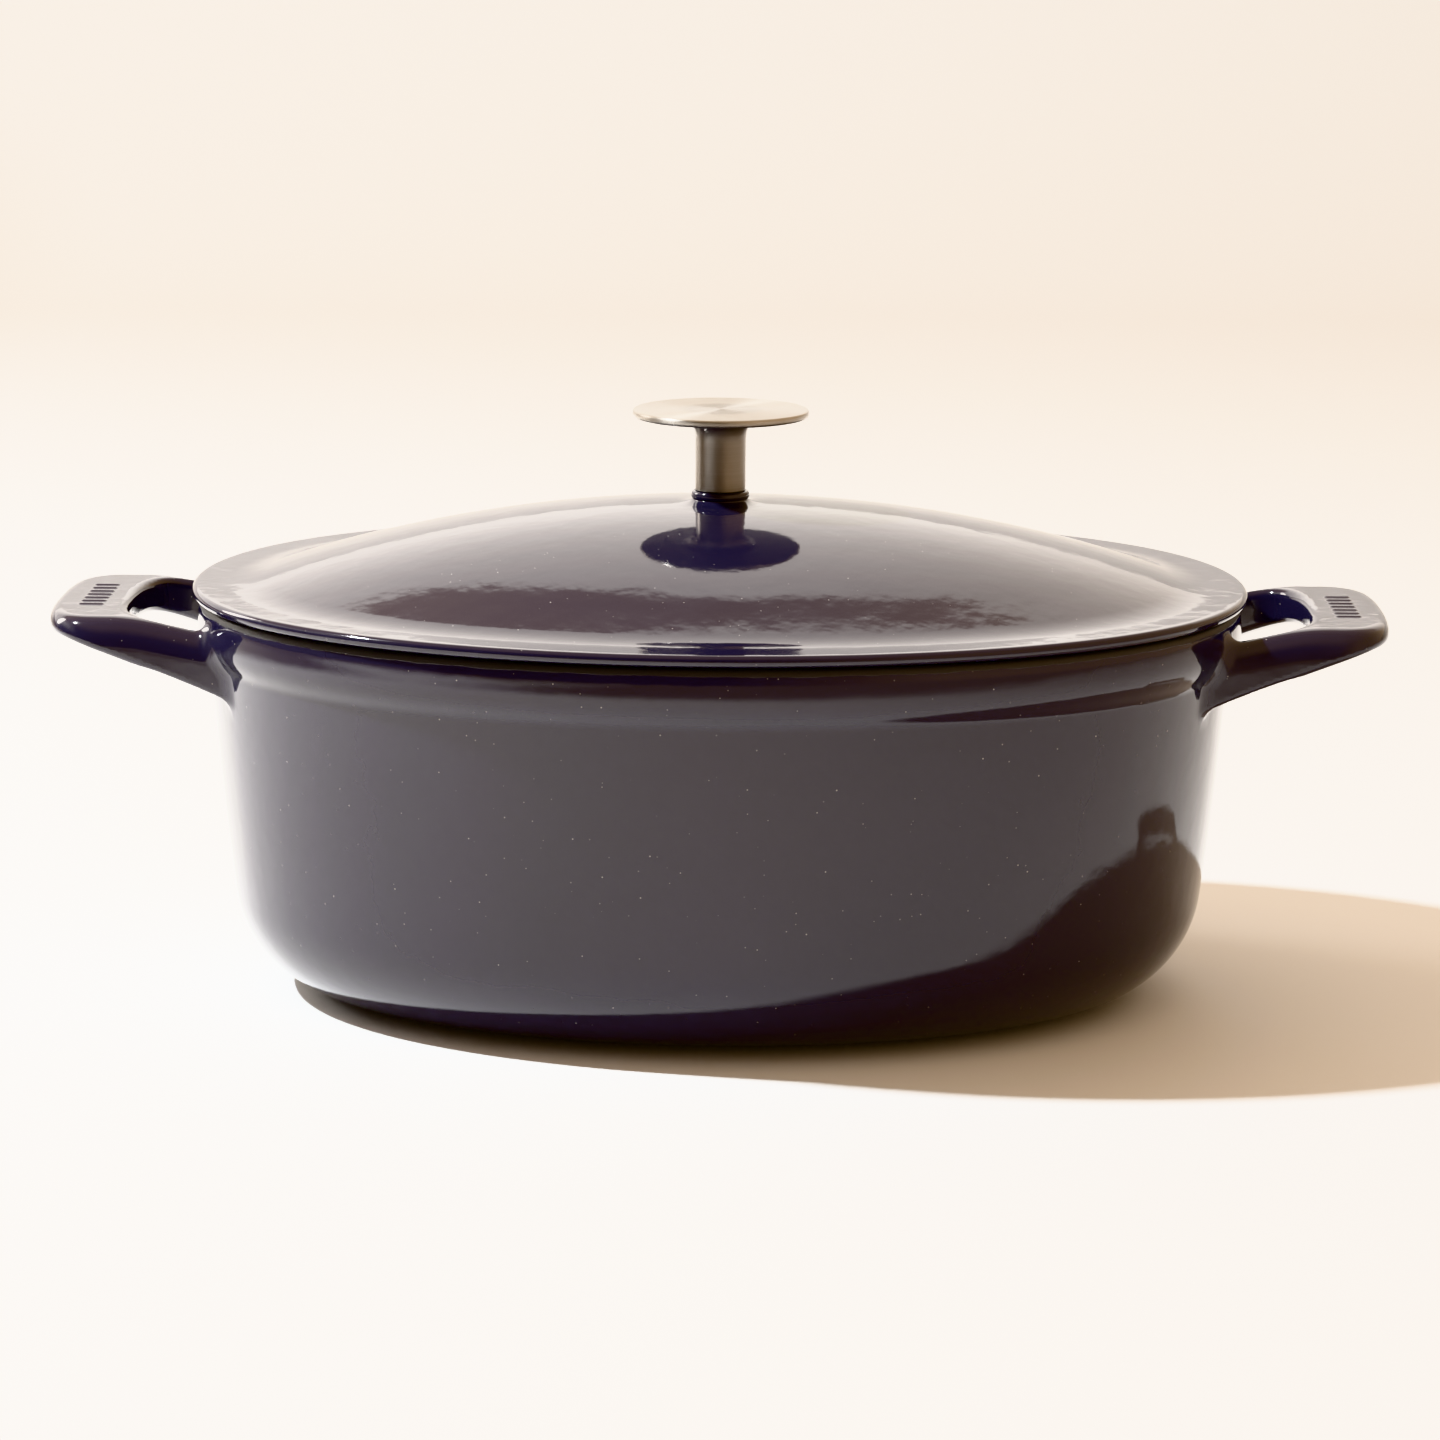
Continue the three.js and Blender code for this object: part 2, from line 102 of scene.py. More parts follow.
class Outline:
    """A plane outline of lines, arcs and Bezier curves, as a run of close points."""

    def __init__(self, x, y):
        self.points = [(x, y)]

    def line(self, x, y, steps=1):
        x0, y0 = self.points[-1]
        for t in np.linspace(0, 1, steps + 1)[1:]:
            self.points.append((x0 + (x - x0) * t, y0 + (y - y0) * t))

    def curve(self, *controls, steps=12):
        """A Bezier curve to the last control: a line with one, quadratic with two, cubic with three."""
        handles = [np.array(p, float) for p in (self.points[-1], *controls)]
        for t in np.linspace(0, 1, steps + 1)[1:]:
            level = handles
            while len(level) > 1:
                level = [a + (b - a) * t for a, b in zip(level, level[1:])]
            self.points.append(tuple(level[0]))

    def arc(self, x, y, radius, start, end, steps=16):
        for a in np.linspace(start, end, steps + 1):
            point = (x + radius * math.cos(a), y + radius * math.sin(a))
            if math.dist(point, self.points[-1]) > 1e-6:
                self.points.append(point)

    def array(self):
        return np.array(self.points, float)


CHUNK = 20000


def unit(vectors):
    return vectors / np.linalg.norm(vectors, axis=1, keepdims=True)


def polygon_distance(points, outline):
    """Signed distance of 2-D points to a closed outline, negative inside, and its gradient."""
    a = outline
    b = np.roll(outline, -1, axis=0)
    edge = b - a
    area = np.sum(a[:, 0] * b[:, 1] - b[:, 0] * a[:, 1])
    turned = unit(np.stack([edge[:, 1], -edge[:, 0]], 1) * np.sign(area))
    corner = unit(turned + np.roll(turned, 1, axis=0))
    next_corner = np.roll(corner, -1, axis=0)
    distance = np.empty(len(points))
    gradient = np.empty((len(points), 2))
    for start in range(0, len(points), CHUNK):
        p = points[start:start + CHUNK]
        away = p[:, None, :] - a[None]
        t = np.clip((away * edge).sum(2) / (edge ** 2).sum(1), 0, 1)
        offset = away - t[:, :, None] * edge
        squared = (offset ** 2).sum(2)
        nearest = squared.argmin(1)
        row = np.arange(len(p))
        along = t[row, nearest][:, None]
        outward = unit(corner[nearest] * (1 - along) + next_corner[nearest] * along)
        side = np.sign((offset[row, nearest] * outward).sum(1))
        distance[start:start + CHUNK] = np.sqrt(squared[row, nearest]) * np.where(side < 0, -1, 1)
        gradient[start:start + CHUNK] = outward
    return distance, gradient


class PlaneField:
    """Distance to a closed outline and the distance's gradient, between two corners of a window.

    Both are worked out once on a fine grid, and read from it after that.
    """

    STEP = 0.4

    def __init__(self, outline, low, high):
        self.low = np.array(low, float)
        count = [int((b - a) / self.STEP) + 2 for a, b in zip(low, high)]
        axes = [a + self.STEP * np.arange(n) for a, n in zip(low, count)]
        grid = np.stack(np.meshgrid(*axes, indexing="ij"), -1).reshape(-1, 2)
        distance, gradient = polygon_distance(grid, outline)
        self.table = np.column_stack([distance, gradient]).reshape(*count, 3)

    def at(self, u, v):
        """Distance, and its slopes along the two axes."""
        place = np.stack([u, v], -1)
        cell = (place - self.low) / self.STEP
        corner = np.clip(np.floor(cell).astype(int), 0, np.array(self.table.shape[:2]) - 2)
        i, j = corner.T
        f, g = np.clip(cell - corner, 0, 1).T[:, :, None]
        front = self.table[i, j] * (1 - f) + self.table[i + 1, j] * f
        back = self.table[i, j + 1] * (1 - f) + self.table[i + 1, j + 1] * f
        return (front * (1 - g) + back * g).T


# ---- Mesh making ----


def new_object(name, vertices, faces, smooth=True):
    """A mesh object from points in millimetres."""
    mesh = bpy.data.meshes.new(name)
    mesh.from_pydata((np.asarray(vertices) * MM).tolist(), [], [list(map(int, f)) for f in faces])
    mesh.update()
    if smooth:
        mesh.shade_smooth()
    piece = bpy.data.objects.new(name, mesh)
    bpy.context.scene.collection.objects.link(piece)
    return piece


def ring_faces(rings, columns, closed=False, round_trip=True):
    """Quads between neighbouring rings of a grid of points stored ring by ring.

    The rings join up with themselves, unless round_trip is off, and closed joins the last to the first.
    """
    faces = []
    last = rings if closed else rings - 1
    for i in range(last):
        for j in range(columns if round_trip else columns - 1):
            k = (j + 1) % columns
            n = (i + 1) % rings
            faces.append((i * columns + j, i * columns + k, n * columns + k, n * columns + j))
    return faces


def vertex_array(piece):
    """The places of a piece's vertices, in millimetres."""
    flat = np.empty(len(piece.data.vertices) * 3)
    piece.data.vertices.foreach_get("co", flat)
    return flat.reshape(-1, 3) / MM


def set_vertices(piece, places):
    piece.data.vertices.foreach_set("co", (places * MM).ravel())
    piece.data.update()


def new_solid(name, vertices, faces, smooth=True):
    """A closed mesh object from points in millimetres, with its faces turned outward."""
    piece = new_object(name, vertices, faces, smooth)
    work = bmesh.new()
    work.from_mesh(piece.data)
    bmesh.ops.recalc_face_normals(work, faces=work.faces)
    work.to_mesh(piece.data)
    work.free()
    return piece


def store_section(piece, values):
    """Stores a number on each vertex, which the enamel reads to find its borders."""
    mark = piece.data.attributes.new("section", "FLOAT", "POINT")
    mark.data.foreach_set("value", values.astype(np.float32))


def round_angles(columns):
    return np.linspace(0, 2 * np.pi, columns, endpoint=False)


def ring_places(x, y, heights):
    """The points of rings at these heights, where x and y have a row for each ring."""
    z = np.repeat(heights[:, None], x.shape[1], axis=1)
    return np.stack([x, y, z], 2).reshape(-1, 3)


def turned_places(profile, columns):
    """The points of a profile of (radius, height) turned about Z."""
    angles = round_angles(columns)
    return ring_places(profile[:, :1] * np.cos(angles), profile[:, :1] * np.sin(angles), profile[:, 1])


def capped_solid(name, places, columns, end_heights):
    """A solid from open rings of points, closed at both ends by fans to points on the Z axis."""
    rings = len(places) // columns
    ends = [[0, 0, z] for z in end_heights]
    faces = ring_faces(rings, columns)
    first, last = len(places), len(places) + 1
    top = (rings - 1) * columns
    for j in range(columns):
        k = (j + 1) % columns
        faces.append((first, k, j))
        faces.append((last, top + j, top + k))
    return new_solid(name, np.vstack([places, ends]), faces)


def turned_solid(name, profile, columns):
    """A round solid about Z from an open profile of (radius, height) that ends on the axis."""
    profile = np.asarray(profile, float)
    places = turned_places(profile[1:-1], columns)
    return capped_solid(name, places, columns, (profile[0, 1], profile[-1, 1]))


def turned_ring(name, profile, columns=96):
    """A ring about Z from a closed profile of (radius, height)."""
    places = turned_places(np.asarray(profile, float), columns)
    return new_solid(name, places, ring_faces(len(profile), columns, closed=True))


def combine(piece, other, operation):
    """Joins or cuts piece with a closed mesh, which is then removed."""
    boolean = piece.modifiers.new("combine", "BOOLEAN")
    boolean.object = other
    boolean.operation = operation
    boolean.solver = "MANIFOLD"
    apply_modifiers(piece)
    bpy.data.objects.remove(other)


def apply_modifiers(piece):
    depsgraph = bpy.context.evaluated_depsgraph_get()
    mesh = bpy.data.meshes.new_from_object(piece.evaluated_get(depsgraph))
    piece.modifiers.clear()
    piece.data = mesh


def surface_net(field, low, high, step):
    """A closed quad mesh of the surface where field is zero. It has to lie inside low to high."""
    axes = [np.arange(a, b + step, step) for a, b in zip(low, high)]
    grid = np.stack(np.meshgrid(*axes, indexing="ij"), -1)
    values = field(grid.reshape(-1, 3)).reshape(grid.shape[:3])
    inside = values < 0
    cells = tuple(n - 1 for n in values.shape)
    total = np.zeros(cells + (3,))
    count = np.zeros(cells, int)
    crossings = []
    for axis in range(3):
        here = tuple(slice(0, -1) if a == axis else slice(None) for a in range(3))
        ahead = tuple(slice(1, None) if a == axis else slice(None) for a in range(3))
        v0, v1 = values[here], values[ahead]
        crossed = inside[here] != inside[ahead]
        t = np.where(crossed, v0 / np.where(crossed, v0 - v1, 1), 0)
        place = grid[here].copy()
        place[..., axis] += t * step
        crossings.append((crossed, inside[here]))
        for shift in np.ndindex(*(1 if a == axis else 2 for a in range(3))):
            part = tuple(slice(m, m + n) for m, n in zip(shift, cells))
            hit = crossed[part]
            total += np.where(hit[..., None], place[part], 0)
            count += hit
    used = count > 0
    number = np.full(cells, -1)
    number[used] = np.arange(used.sum())
    vertices = total[used] / count[used][:, None]
    faces = []
    for axis, (crossed, starts_inside) in enumerate(crossings):
        u, v = [(axis + 1) % 3, (axis + 2) % 3]
        spots = np.argwhere(crossed)
        keep = (spots[:, u] > 0) & (spots[:, v] > 0)
        keep &= (spots[:, u] < cells[u]) & (spots[:, v] < cells[v])
        spots = spots[keep]
        quad = []
        for du, dv in ((-1, -1), (0, -1), (0, 0), (-1, 0)):
            cell = spots.copy()
            cell[:, u] += du
            cell[:, v] += dv
            quad.append(number[tuple(cell.T)])
        quad = np.stack(quad, 1)
        flip = ~starts_inside[tuple(spots.T)]
        quad[flip] = quad[flip][:, ::-1]
        faces.extend(quad.tolist())
    return vertices, faces


# ---- Pot section ----
# Half-lengths and heights of the pot's cast section.

RIM_TOP = POT_HIGH[2]
RIM_OUTER = 170.0
RIM_INNER = 167.6
MOUTH = 165.4
MOUTH_Z = RIM_TOP - 2.4
COLLAR = 172.3
COLLAR_ROUND = 122.0
COLLAR_FOOT = 110.5
WALL_TOP = 168.2
WALL_THICKNESS = 3.9
HEEL = (123.8, 38.0)
HEEL_RADIUS = 37.5
DRAFT = math.radians(7)
FOOT = 126.0
FOOT_STEP = 0.7
FOOT_ROUND = 0.6
BASE_RECESS = 0.5
RECESS_EDGE = 112.0
RECESS_RAMP = 3
FLOOR = 4.8
FLAT_CENTRE = 40.0
SCALED_WITHIN = 110.0


def wall_curve(outline, inset, start_angle, upwards):
    """The heel and the slightly bowed wall above it, moved in by inset from the outer face."""
    radius = HEEL_RADIUS - inset
    start = (HEEL[0] + radius * math.cos(DRAFT), HEEL[1] - radius * math.sin(DRAFT))
    middle = (start[1] + COLLAR_FOOT) / 2
    bow = (start[0] + (middle - start[1]) * math.tan(DRAFT), middle)
    top = (WALL_TOP - inset, COLLAR_FOOT)
    if upwards:
        outline.arc(*HEEL, radius, start_angle, -DRAFT, steps=20)
        outline.curve(bow, top, steps=16)
    else:
        outline.curve(bow, start, steps=16)
        outline.arc(*HEEL, radius, -DRAFT, start_angle, steps=20)


def pot_section():
    """The open section, from under the middle of the pot, up outside, over the rim and in."""
    foot_angle = -math.acos((FOOT + FOOT_STEP - HEEL[0]) / HEEL_RADIUS)
    inner_radius = HEEL_RADIUS - WALL_THICKNESS
    floor_angle = -math.asin((HEEL[1] - FLOOR) / inner_radius)
    section = Outline(FLAT_CENTRE, BASE_RECESS)
    section.line(RECESS_EDGE, BASE_RECESS, steps=6)
    ramp_middle = RECESS_EDGE + RECESS_RAMP / 2
    section.curve((ramp_middle, BASE_RECESS), (ramp_middle, 0), (RECESS_EDGE + RECESS_RAMP, 0), steps=6)
    section.line(FOOT - FOOT_ROUND, 0, steps=3)
    section.curve((FOOT, 0), (FOOT + 0.2, 0.3), steps=3)
    wall_curve(section, 0, foot_angle, upwards=True)
    collar_start = len(section.points)
    cove = ((WALL_TOP, COLLAR_FOOT + 3), (COLLAR, COLLAR_FOOT + 5), (COLLAR, COLLAR_ROUND))
    section.curve(*cove, steps=16)
    section.curve((COLLAR, COLLAR_ROUND + 5), (COLLAR - 0.4, RIM_TOP), (RIM_OUTER, RIM_TOP), steps=16)
    rim_start = len(section.points) - 1
    section.line(RIM_INNER, RIM_TOP, steps=2)
    section.curve((MOUTH + 0.2, RIM_TOP), (MOUTH, MOUTH_Z), steps=8)
    rim_end = len(section.points) - 1
    section.line(WALL_TOP - WALL_THICKNESS, COLLAR_FOOT, steps=6)
    wall_curve(section, WALL_THICKNESS, floor_angle, upwards=False)
    section.line(FLAT_CENTRE, FLOOR, steps=8)
    return section.array(), collar_start, rim_start, rim_end


SECTION, COLLAR_START, RIM_START, RIM_END = pot_section()
STATIONS = np.concatenate([[0], np.cumsum(np.linalg.norm(np.diff(SECTION, axis=0), axis=1))])
OUTER_OUTLINE = np.vstack([SECTION[:RIM_START + 1], [[FLAT_CENTRE, RIM_TOP]]])
OUTER_WINDOW = ((90, 60), (240, 136))
OUTER_FIELD = PlaneField(OUTER_OUTLINE, *OUTER_WINDOW)


def outer_wall_distance(points):
    """Signed distance to the pot's outer face, and its gradient. It holds in OUTER_WINDOW."""
    x, y, z = points.T
    half_length, angle = oval_coordinates(x, y)
    distance, outward, upward = OUTER_FIELD.at(half_length, z)
    gradient = np.stack([outward * np.cos(angle), outward * np.sin(angle), upward], 1)
    return distance, gradient


# ---- Handles ----
# The handle on the +X side. The other one is a copy turned half a turn about Z.

TIP = POT_HIGH[0]
GRIP_TOP = 128.7
RAIL_RISE = ((157.0, 123.4), (196.0, GRIP_TOP))
UNDERSIDE = (163.7, 104.4, 0.376)
NOSE_LOW = 122.6
NOSE_EASE = 1.6
HOLE_END = 194.4
BLANK_START = 140.0
ON_AXIS = 0.01
PLAN = (
    (BLANK_START, 54),
    (((158, 48.5), (172, 47.2), (188, 46.4)), 24),
    (((200, 46),), 3),
    (((211, 45.6), (216.4, 40), (218.2, 28)), 32),
    (((219.2, 20), (TIP, 10), (TIP, ON_AXIS)), 16),
)
HOLE = (
    (BLANK_START, 42),
    (((160, 39.5), (172, 39), (180, 38)), 16),
    (((189, 36.5), (HOLE_END, 30), (HOLE_END, ON_AXIS)), 40),
)
PLAN_WINDOW = ((100, 0), (240, 110))
RIB_COUNT = 7
RIB_X = 206.0
RIB_PITCH = 6.0
RIB_HALF_LENGTH = 4.5
RIB_HALF_WIDTH = 1.2
RIB_HEIGHT = 0.45
RIB_FLOOR = GRIP_TOP - 1
TOP_SQUASH = 0.75
TOP_ROUND_X = (160, 200, 210, 218)
TOP_ROUND = (7.0, 7.5, 5.5, 2.4)
UNDER_ROUND = 2.4
HOLE_ROUND = 2.2
SCOOP_WIDTH = 9.0
SCOOP_SLOPE = 0.36
FILLET_Z = (104, 114, 122)
FILLET = (3.0, 3.5, 5.0)
HOLE_FILLET = 4.0
HOLE_FILLET_WITHIN = 40
FILLET_BLEND = 8


def mirrored_plan(start, *curves):
    """A closed outline, from the start and the (controls, steps) curves of its half above X."""
    half = Outline(*start)
    for controls, steps in curves:
        half.curve(*controls, steps=steps)
    half = half.array()
    return np.vstack([half, half[::-1] * (1, -1)])


PLAN_FIELD = PlaneField(mirrored_plan(*PLAN), *PLAN_WINDOW)
HOLE_FIELD = PlaneField(mirrored_plan(*HOLE), *PLAN_WINDOW)


def side_distance(field, points):
    """Signed distance to an upright cut round one of the handle's plan outlines, and its gradient."""
    x, y, z = points.T
    distance, along, across = field.at(x, np.abs(y))
    gradient = np.stack([along, across * np.sign(y), np.zeros(len(z))], 1)
    return distance, gradient


def rail_top(x):
    """Height and slope of the handle's top."""
    (x0, z0), (x1, z1) = RAIL_RISE
    t = np.clip((x - x0) / (x1 - x0), 0, 1)
    height = z0 + (z1 - z0) * t * t * (3 - 2 * t)
    slope = (z1 - z0) * 6 * t * (1 - t) / (x1 - x0)
    return height, slope


def underside(x):
    """Height and slope of the handle's underside, which levels out into the nose."""
    x0, z0, slope = UNDERSIDE
    gap = NOSE_LOW - (z0 + slope * (x - x0))
    root = np.sqrt(gap * gap + NOSE_EASE * NOSE_EASE)
    height = NOSE_LOW - (gap + root) / 2
    return height, slope * (1 + gap / root) / 2


def round_corner(a, b, radius):
    """Where both fields are inside, with the edge between them rounded."""
    (da, ga), (db, gb) = a, b
    u = np.maximum(radius + da, 0)
    v = np.maximum(radius + db, 0)
    length = np.hypot(u, v)
    flat = (u == 0) | (v == 0) | (length < 1e-9)
    safe = np.maximum(length, 1e-9)
    distance = np.where(flat, np.maximum(da, db), length - radius)
    blended = (ga * u[:, None] + gb * v[:, None]) / safe[:, None]
    gradient = np.where(flat[:, None], np.where((da > db)[:, None], ga, gb), blended)
    return distance, gradient


def round_joint(a, b, radius):
    """Where either field is inside, with a fillet between them."""
    distance, gradient = round_corner((-a[0], -a[1]), (-b[0], -b[1]), radius)
    return -distance, -gradient


def handle_distance(points):
    """Signed distance to the bare handle, and its gradient."""
    x, _, z = points.T
    zero = np.zeros(len(x))
    height, slope = rail_top(x)
    steep = np.sqrt(1 + slope * slope)
    top = (z - height) / steep * TOP_SQUASH
    top_gradient = np.column_stack([-slope / steep, zero, 1 / steep]) * TOP_SQUASH
    hole, hole_gradient = side_distance(HOLE_FIELD, points)
    low, low_slope = underside(x)
    scoop = np.clip(SCOOP_WIDTH - hole, 0, SCOOP_WIDTH)
    scooped = ((hole > 0) & (hole < SCOOP_WIDTH))[:, None]
    bottom = low + SCOOP_SLOPE * scoop - z
    bottom_gradient = np.column_stack([low_slope, zero, zero - 1])
    bottom_gradient = bottom_gradient - SCOOP_SLOPE * scooped * hole_gradient
    steep = np.linalg.norm(bottom_gradient, axis=1)
    bottom = bottom / steep
    bottom_gradient = bottom_gradient / steep[:, None]
    top_radius = np.interp(x, TOP_ROUND_X, TOP_ROUND)
    solid = round_corner(side_distance(PLAN_FIELD, points), (top, top_gradient), top_radius)
    solid = round_corner(solid, (bottom, bottom_gradient), UNDER_ROUND)
    return round_corner(solid, (-hole, -hole_gradient), HOLE_ROUND)


def casting_distance(points, sink=0.0):
    """Signed distance to the handle filleted into the outer wall. The wall lies sink deeper."""
    _, y, z = points.T
    wall, wall_gradient = outer_wall_distance(points)
    fillet = np.interp(z, FILLET_Z, FILLET)
    outside = np.clip((np.abs(y) - HOLE_FILLET_WITHIN) / FILLET_BLEND, 0, 1)
    fillet = HOLE_FILLET + (fillet - HOLE_FILLET) * outside
    return round_joint((wall + sink, wall_gradient), handle_distance(points), fillet)


def rib_lift(points):
    """How far the grip's ribs stand above its top at each point."""
    x, y, z = points.T
    along = np.maximum(np.abs(x - RIB_X) - RIB_HALF_LENGTH + RIB_HALF_WIDTH, 0)
    lift = np.zeros(len(points))
    for i in range(RIB_COUNT):
        middle = (i - (RIB_COUNT - 1) / 2) * RIB_PITCH
        away = np.hypot(along, y - middle) / RIB_HALF_WIDTH
        lift = np.maximum(lift, RIB_HEIGHT * (1 - np.clip(away, 0, 1) ** 2) ** 1.5)
    return np.where(z > RIB_FLOOR, lift, 0)


def settle(places, field, rounds=6):
    """Moves points on to the surface where field is zero."""
    for _ in range(rounds):
        distance, gradient = field(places)
        squared = np.maximum((gradient ** 2).sum(1), 1e-6)
        places = places - (distance / squared)[:, None] * gradient
    return places


def refine(piece, chosen):
    """Splits the faces whose corners are all chosen into finer ones."""
    work = bmesh.new()
    work.from_mesh(piece.data)
    edges = [e for e in work.edges if all(chosen[v.index] for v in e.verts)]
    bmesh.ops.subdivide_edges(work, edges=edges, cuts=3, use_grid_fill=True)
    work.to_mesh(piece.data)
    work.free()


HANDLE_STEP = 1.0
NET_LOW = (128.3, -77.2, 93.4)
NET_HIGH = (TIP + 2, 77.2, 133)
ROOT_DEPTH = 2.6
SLAB_HALF_WIDTH = 74
SLAB_BOTTOM = 96
SLAB_TOP = RIM_TOP - 3.4
SINK = 0.025
SINK_SLOPE = 0.06
SINK_BEYOND_Y = 65
SINK_BELOW_Z = 99.5
FREE_DEPTH = 1.0


def sunk(points):
    """How deep the slab under a handle lies in the wall: a touch, and more towards its borders."""
    _, y, z = points.T
    beyond = np.maximum(np.abs(y) - SINK_BEYOND_Y, SINK_BELOW_Z - z)
    return SINK + SINK_SLOPE * np.maximum(beyond, 0)


def handle_piece(name):
    """The +X handle with its fillets, standing on a thin slab sunk in the pot's wall."""

    def solid(points):
        _, y, z = points.T
        wall, _ = outer_wall_distance(points)
        joined, _ = casting_distance(points, sunk(points))
        window = np.maximum(np.abs(y) - SLAB_HALF_WIDTH, SLAB_BOTTOM - z)
        window = np.maximum(window, z - SLAB_TOP)
        return np.maximum(np.maximum(joined, -(wall + ROOT_DEPTH)), window)

    places, faces = surface_net(solid, NET_LOW, NET_HIGH, HANDLE_STEP)
    x, y, z = places.T
    wall, _ = outer_wall_distance(places)
    free = (wall > -FREE_DEPTH) & (np.abs(y) < SLAB_HALF_WIDTH - 1) & (z > SLAB_BOTTOM + 1)
    places[free] = settle(places[free], lambda p: casting_distance(p, sunk(p)))
    piece = new_object(name, places, faces)
    near = (np.abs(x - RIB_X) < RIB_HALF_LENGTH + 2) & (z > RIB_FLOOR)
    near &= np.abs(y) < RIB_PITCH * RIB_COUNT / 2 + 1
    refine(piece, near)
    places = vertex_array(piece)
    places[:, 2] += rib_lift(places)
    set_vertices(piece, places)
    return piece


POT_COLUMNS = 320


def pot_shell(name):
    """The pot without its handles: the section carried round the oval.

    Within SCALED_WITHIN the ovals keep one proportion, so that they close up on the centre.
    """
    angles = round_angles(POT_COLUMNS)
    x, y = oval(SECTION[:, :1], angles[None])
    flat = SECTION[:, 0] < SCALED_WITHIN
    share = SECTION[flat, 0][:, None] / SCALED_WITHIN
    edge_x, edge_y = oval(np.array([[SCALED_WITHIN]]), angles[None])
    x[flat] = edge_x * share
    y[flat] = edge_y * share
    return capped_solid(name, ring_places(x, y, SECTION[:, 1]), POT_COLUMNS, (BASE_RECESS, FLOOR))


FLAT_REACH = (106.0, 66.0)
SKIN = 0.3
HANDLES_ABOVE = 80
BELOW_RIM = 4


def mark_section(piece):
    """Stores how far along the pot's section each vertex lies, for the enamel's borders."""
    places = vertex_array(piece)
    x, y, z = places.T
    half_length, _ = oval_coordinates(x, y)
    where = np.stack([np.maximum(half_length, FLAT_CENTRE), z], 1)
    station = np.empty(len(where))
    for start in range(0, len(where), CHUNK):
        away = ((where[start:start + CHUNK, None, :] - SECTION[None]) ** 2).sum(2)
        station[start:start + CHUNK] = STATIONS[away.argmin(1)]
    wall, _ = outer_wall_distance(places)
    outside = (wall > -SKIN) & (z > HANDLES_ABOVE) & (z < RIM_TOP - BELOW_RIM)
    station = np.where(outside, np.minimum(station, STATIONS[COLLAR_START]), station)
    central = np.hypot(x / FLAT_REACH[0], y / FLAT_REACH[1]) < 1
    station = np.where(central & (z > FLOOR / 2), STATIONS[-1], station)
    station = np.where(central & (z < FLOOR / 2), STATIONS[0], station)
    store_section(piece, station)


NORMALS_LOW = (120, -92, 92)
NORMALS_HIGH = (TIP + 1, 92, RIM_TOP - 3)
NORMALS_DEPTH = 0.5


def by_handle(folded):
    """Which points of the pot lie by a handle, where its normals come from the handle's field."""
    x, _, z = folded.T
    wall, _ = outer_wall_distance(folded)
    near = ((folded > NORMALS_LOW) & (folded < NORMALS_HIGH)).all(1) & (wall > -NORMALS_DEPTH)
    ribbed = (np.abs(x - RIB_X) < RIB_HALF_LENGTH + 1) & (z > GRIP_TOP - 0.5)
    return near & (rib_lift(folded) == 0) & ~ribbed


def pot_body():
    """The pot with both handles, and with smooth normals round them."""
    piece = pot_shell("pot_casting")
    right = handle_piece("handle_right")
    left = bpy.data.objects.new("handle_left", right.data.copy())
    bpy.context.scene.collection.objects.link(left)
    left.data.transform(Matrix.Rotation(math.pi, 4, "Z"))
    combine(piece, right, "UNION")
    combine(piece, left, "UNION")
    piece.data.shade_smooth()
    places = vertex_array(piece)
    normals = np.empty(len(places) * 3)
    piece.data.vertices.foreach_get("normal", normals)
    normals = normals.reshape(-1, 3)
    fold = np.where(places[:, :1] < 0, (-1, -1, 1), (1, 1, 1))
    folded = places * fold
    near = by_handle(folded)
    _, gradient = casting_distance(folded[near])
    normals[near] = unit(gradient) * fold[near]
    piece.data.normals_split_custom_set_from_vertices(normals.tolist())
    mark_section(piece)
    return piece


# ---- Lid ----
# Heights are measured from the plane in which the lid sits on the rim.

SEAT_Z = RIM_TOP + 0.2
LID_HALF_LENGTH = LID_HIGH[0]
EDGE_BOTTOM = 0.7
BRIM_TOP = 4.4
EDGE_RADIUS = (BRIM_TOP - EDGE_BOTTOM) / 2
BRIM_INNER = 163.0
BRIM_BEND = 156.5
DOME_FOOT = 150.0
DOME_FOOT_RISE = 2.1
CROWN = 30.8
LID_THICKNESS = 4.0
SPIGOT = (160.9, 164.1, -5.0)
SIMILAR_WITHIN = 145.0
SIMILAR_BLEND = 0.1
BOSS_TOP = LID_HIGH[2] - SEAT_Z
BOSS_RADIUS = 9.4
BOSS_FOOT = 33.2
GROOVE_Z = 31.95
SKIRT_RADIUS = 13.5
PAD_RADIUS = 10.4
SCREW_HOLE = 3.4
HOLE_EASE = 0.3
ROUND_OUT = 48.0
LID_COLUMNS = 360
DIRECTIONS = 2881


def dome_share(half_length):
    """Ovals near the brim run parallel, and those on the dome keep one proportion."""
    t = half_length / SIMILAR_WITHIN
    eased = 1 - (1 + SIMILAR_BLEND - t) ** 2 / (4 * SIMILAR_BLEND)
    return np.where(t <= 1 - SIMILAR_BLEND, t, np.where(t >= 1 + SIMILAR_BLEND, 1, eased))


def similar_half_length(x, y):
    """Half-length of the dome's oval through each point well inside the brim."""
    facing = np.linspace(-np.pi, np.pi, DIRECTIONS)
    edge_x, edge_y = oval(SIMILAR_WITHIN, facing)
    heading = np.arctan2(edge_y, edge_x)[1:-1]
    reach = np.interp(np.arctan2(y, x), heading, np.hypot(edge_x, edge_y)[1:-1])
    return np.hypot(x, y) / reach * SIMILAR_WITHIN


def dome_height(half_length, crown):
    """Height of the dome's top face, or of its underside when crown is that much lower."""
    foot = BRIM_TOP + DOME_FOOT_RISE - (CROWN - crown)
    return crown - (crown - foot) * (half_length / DOME_FOOT) ** 2


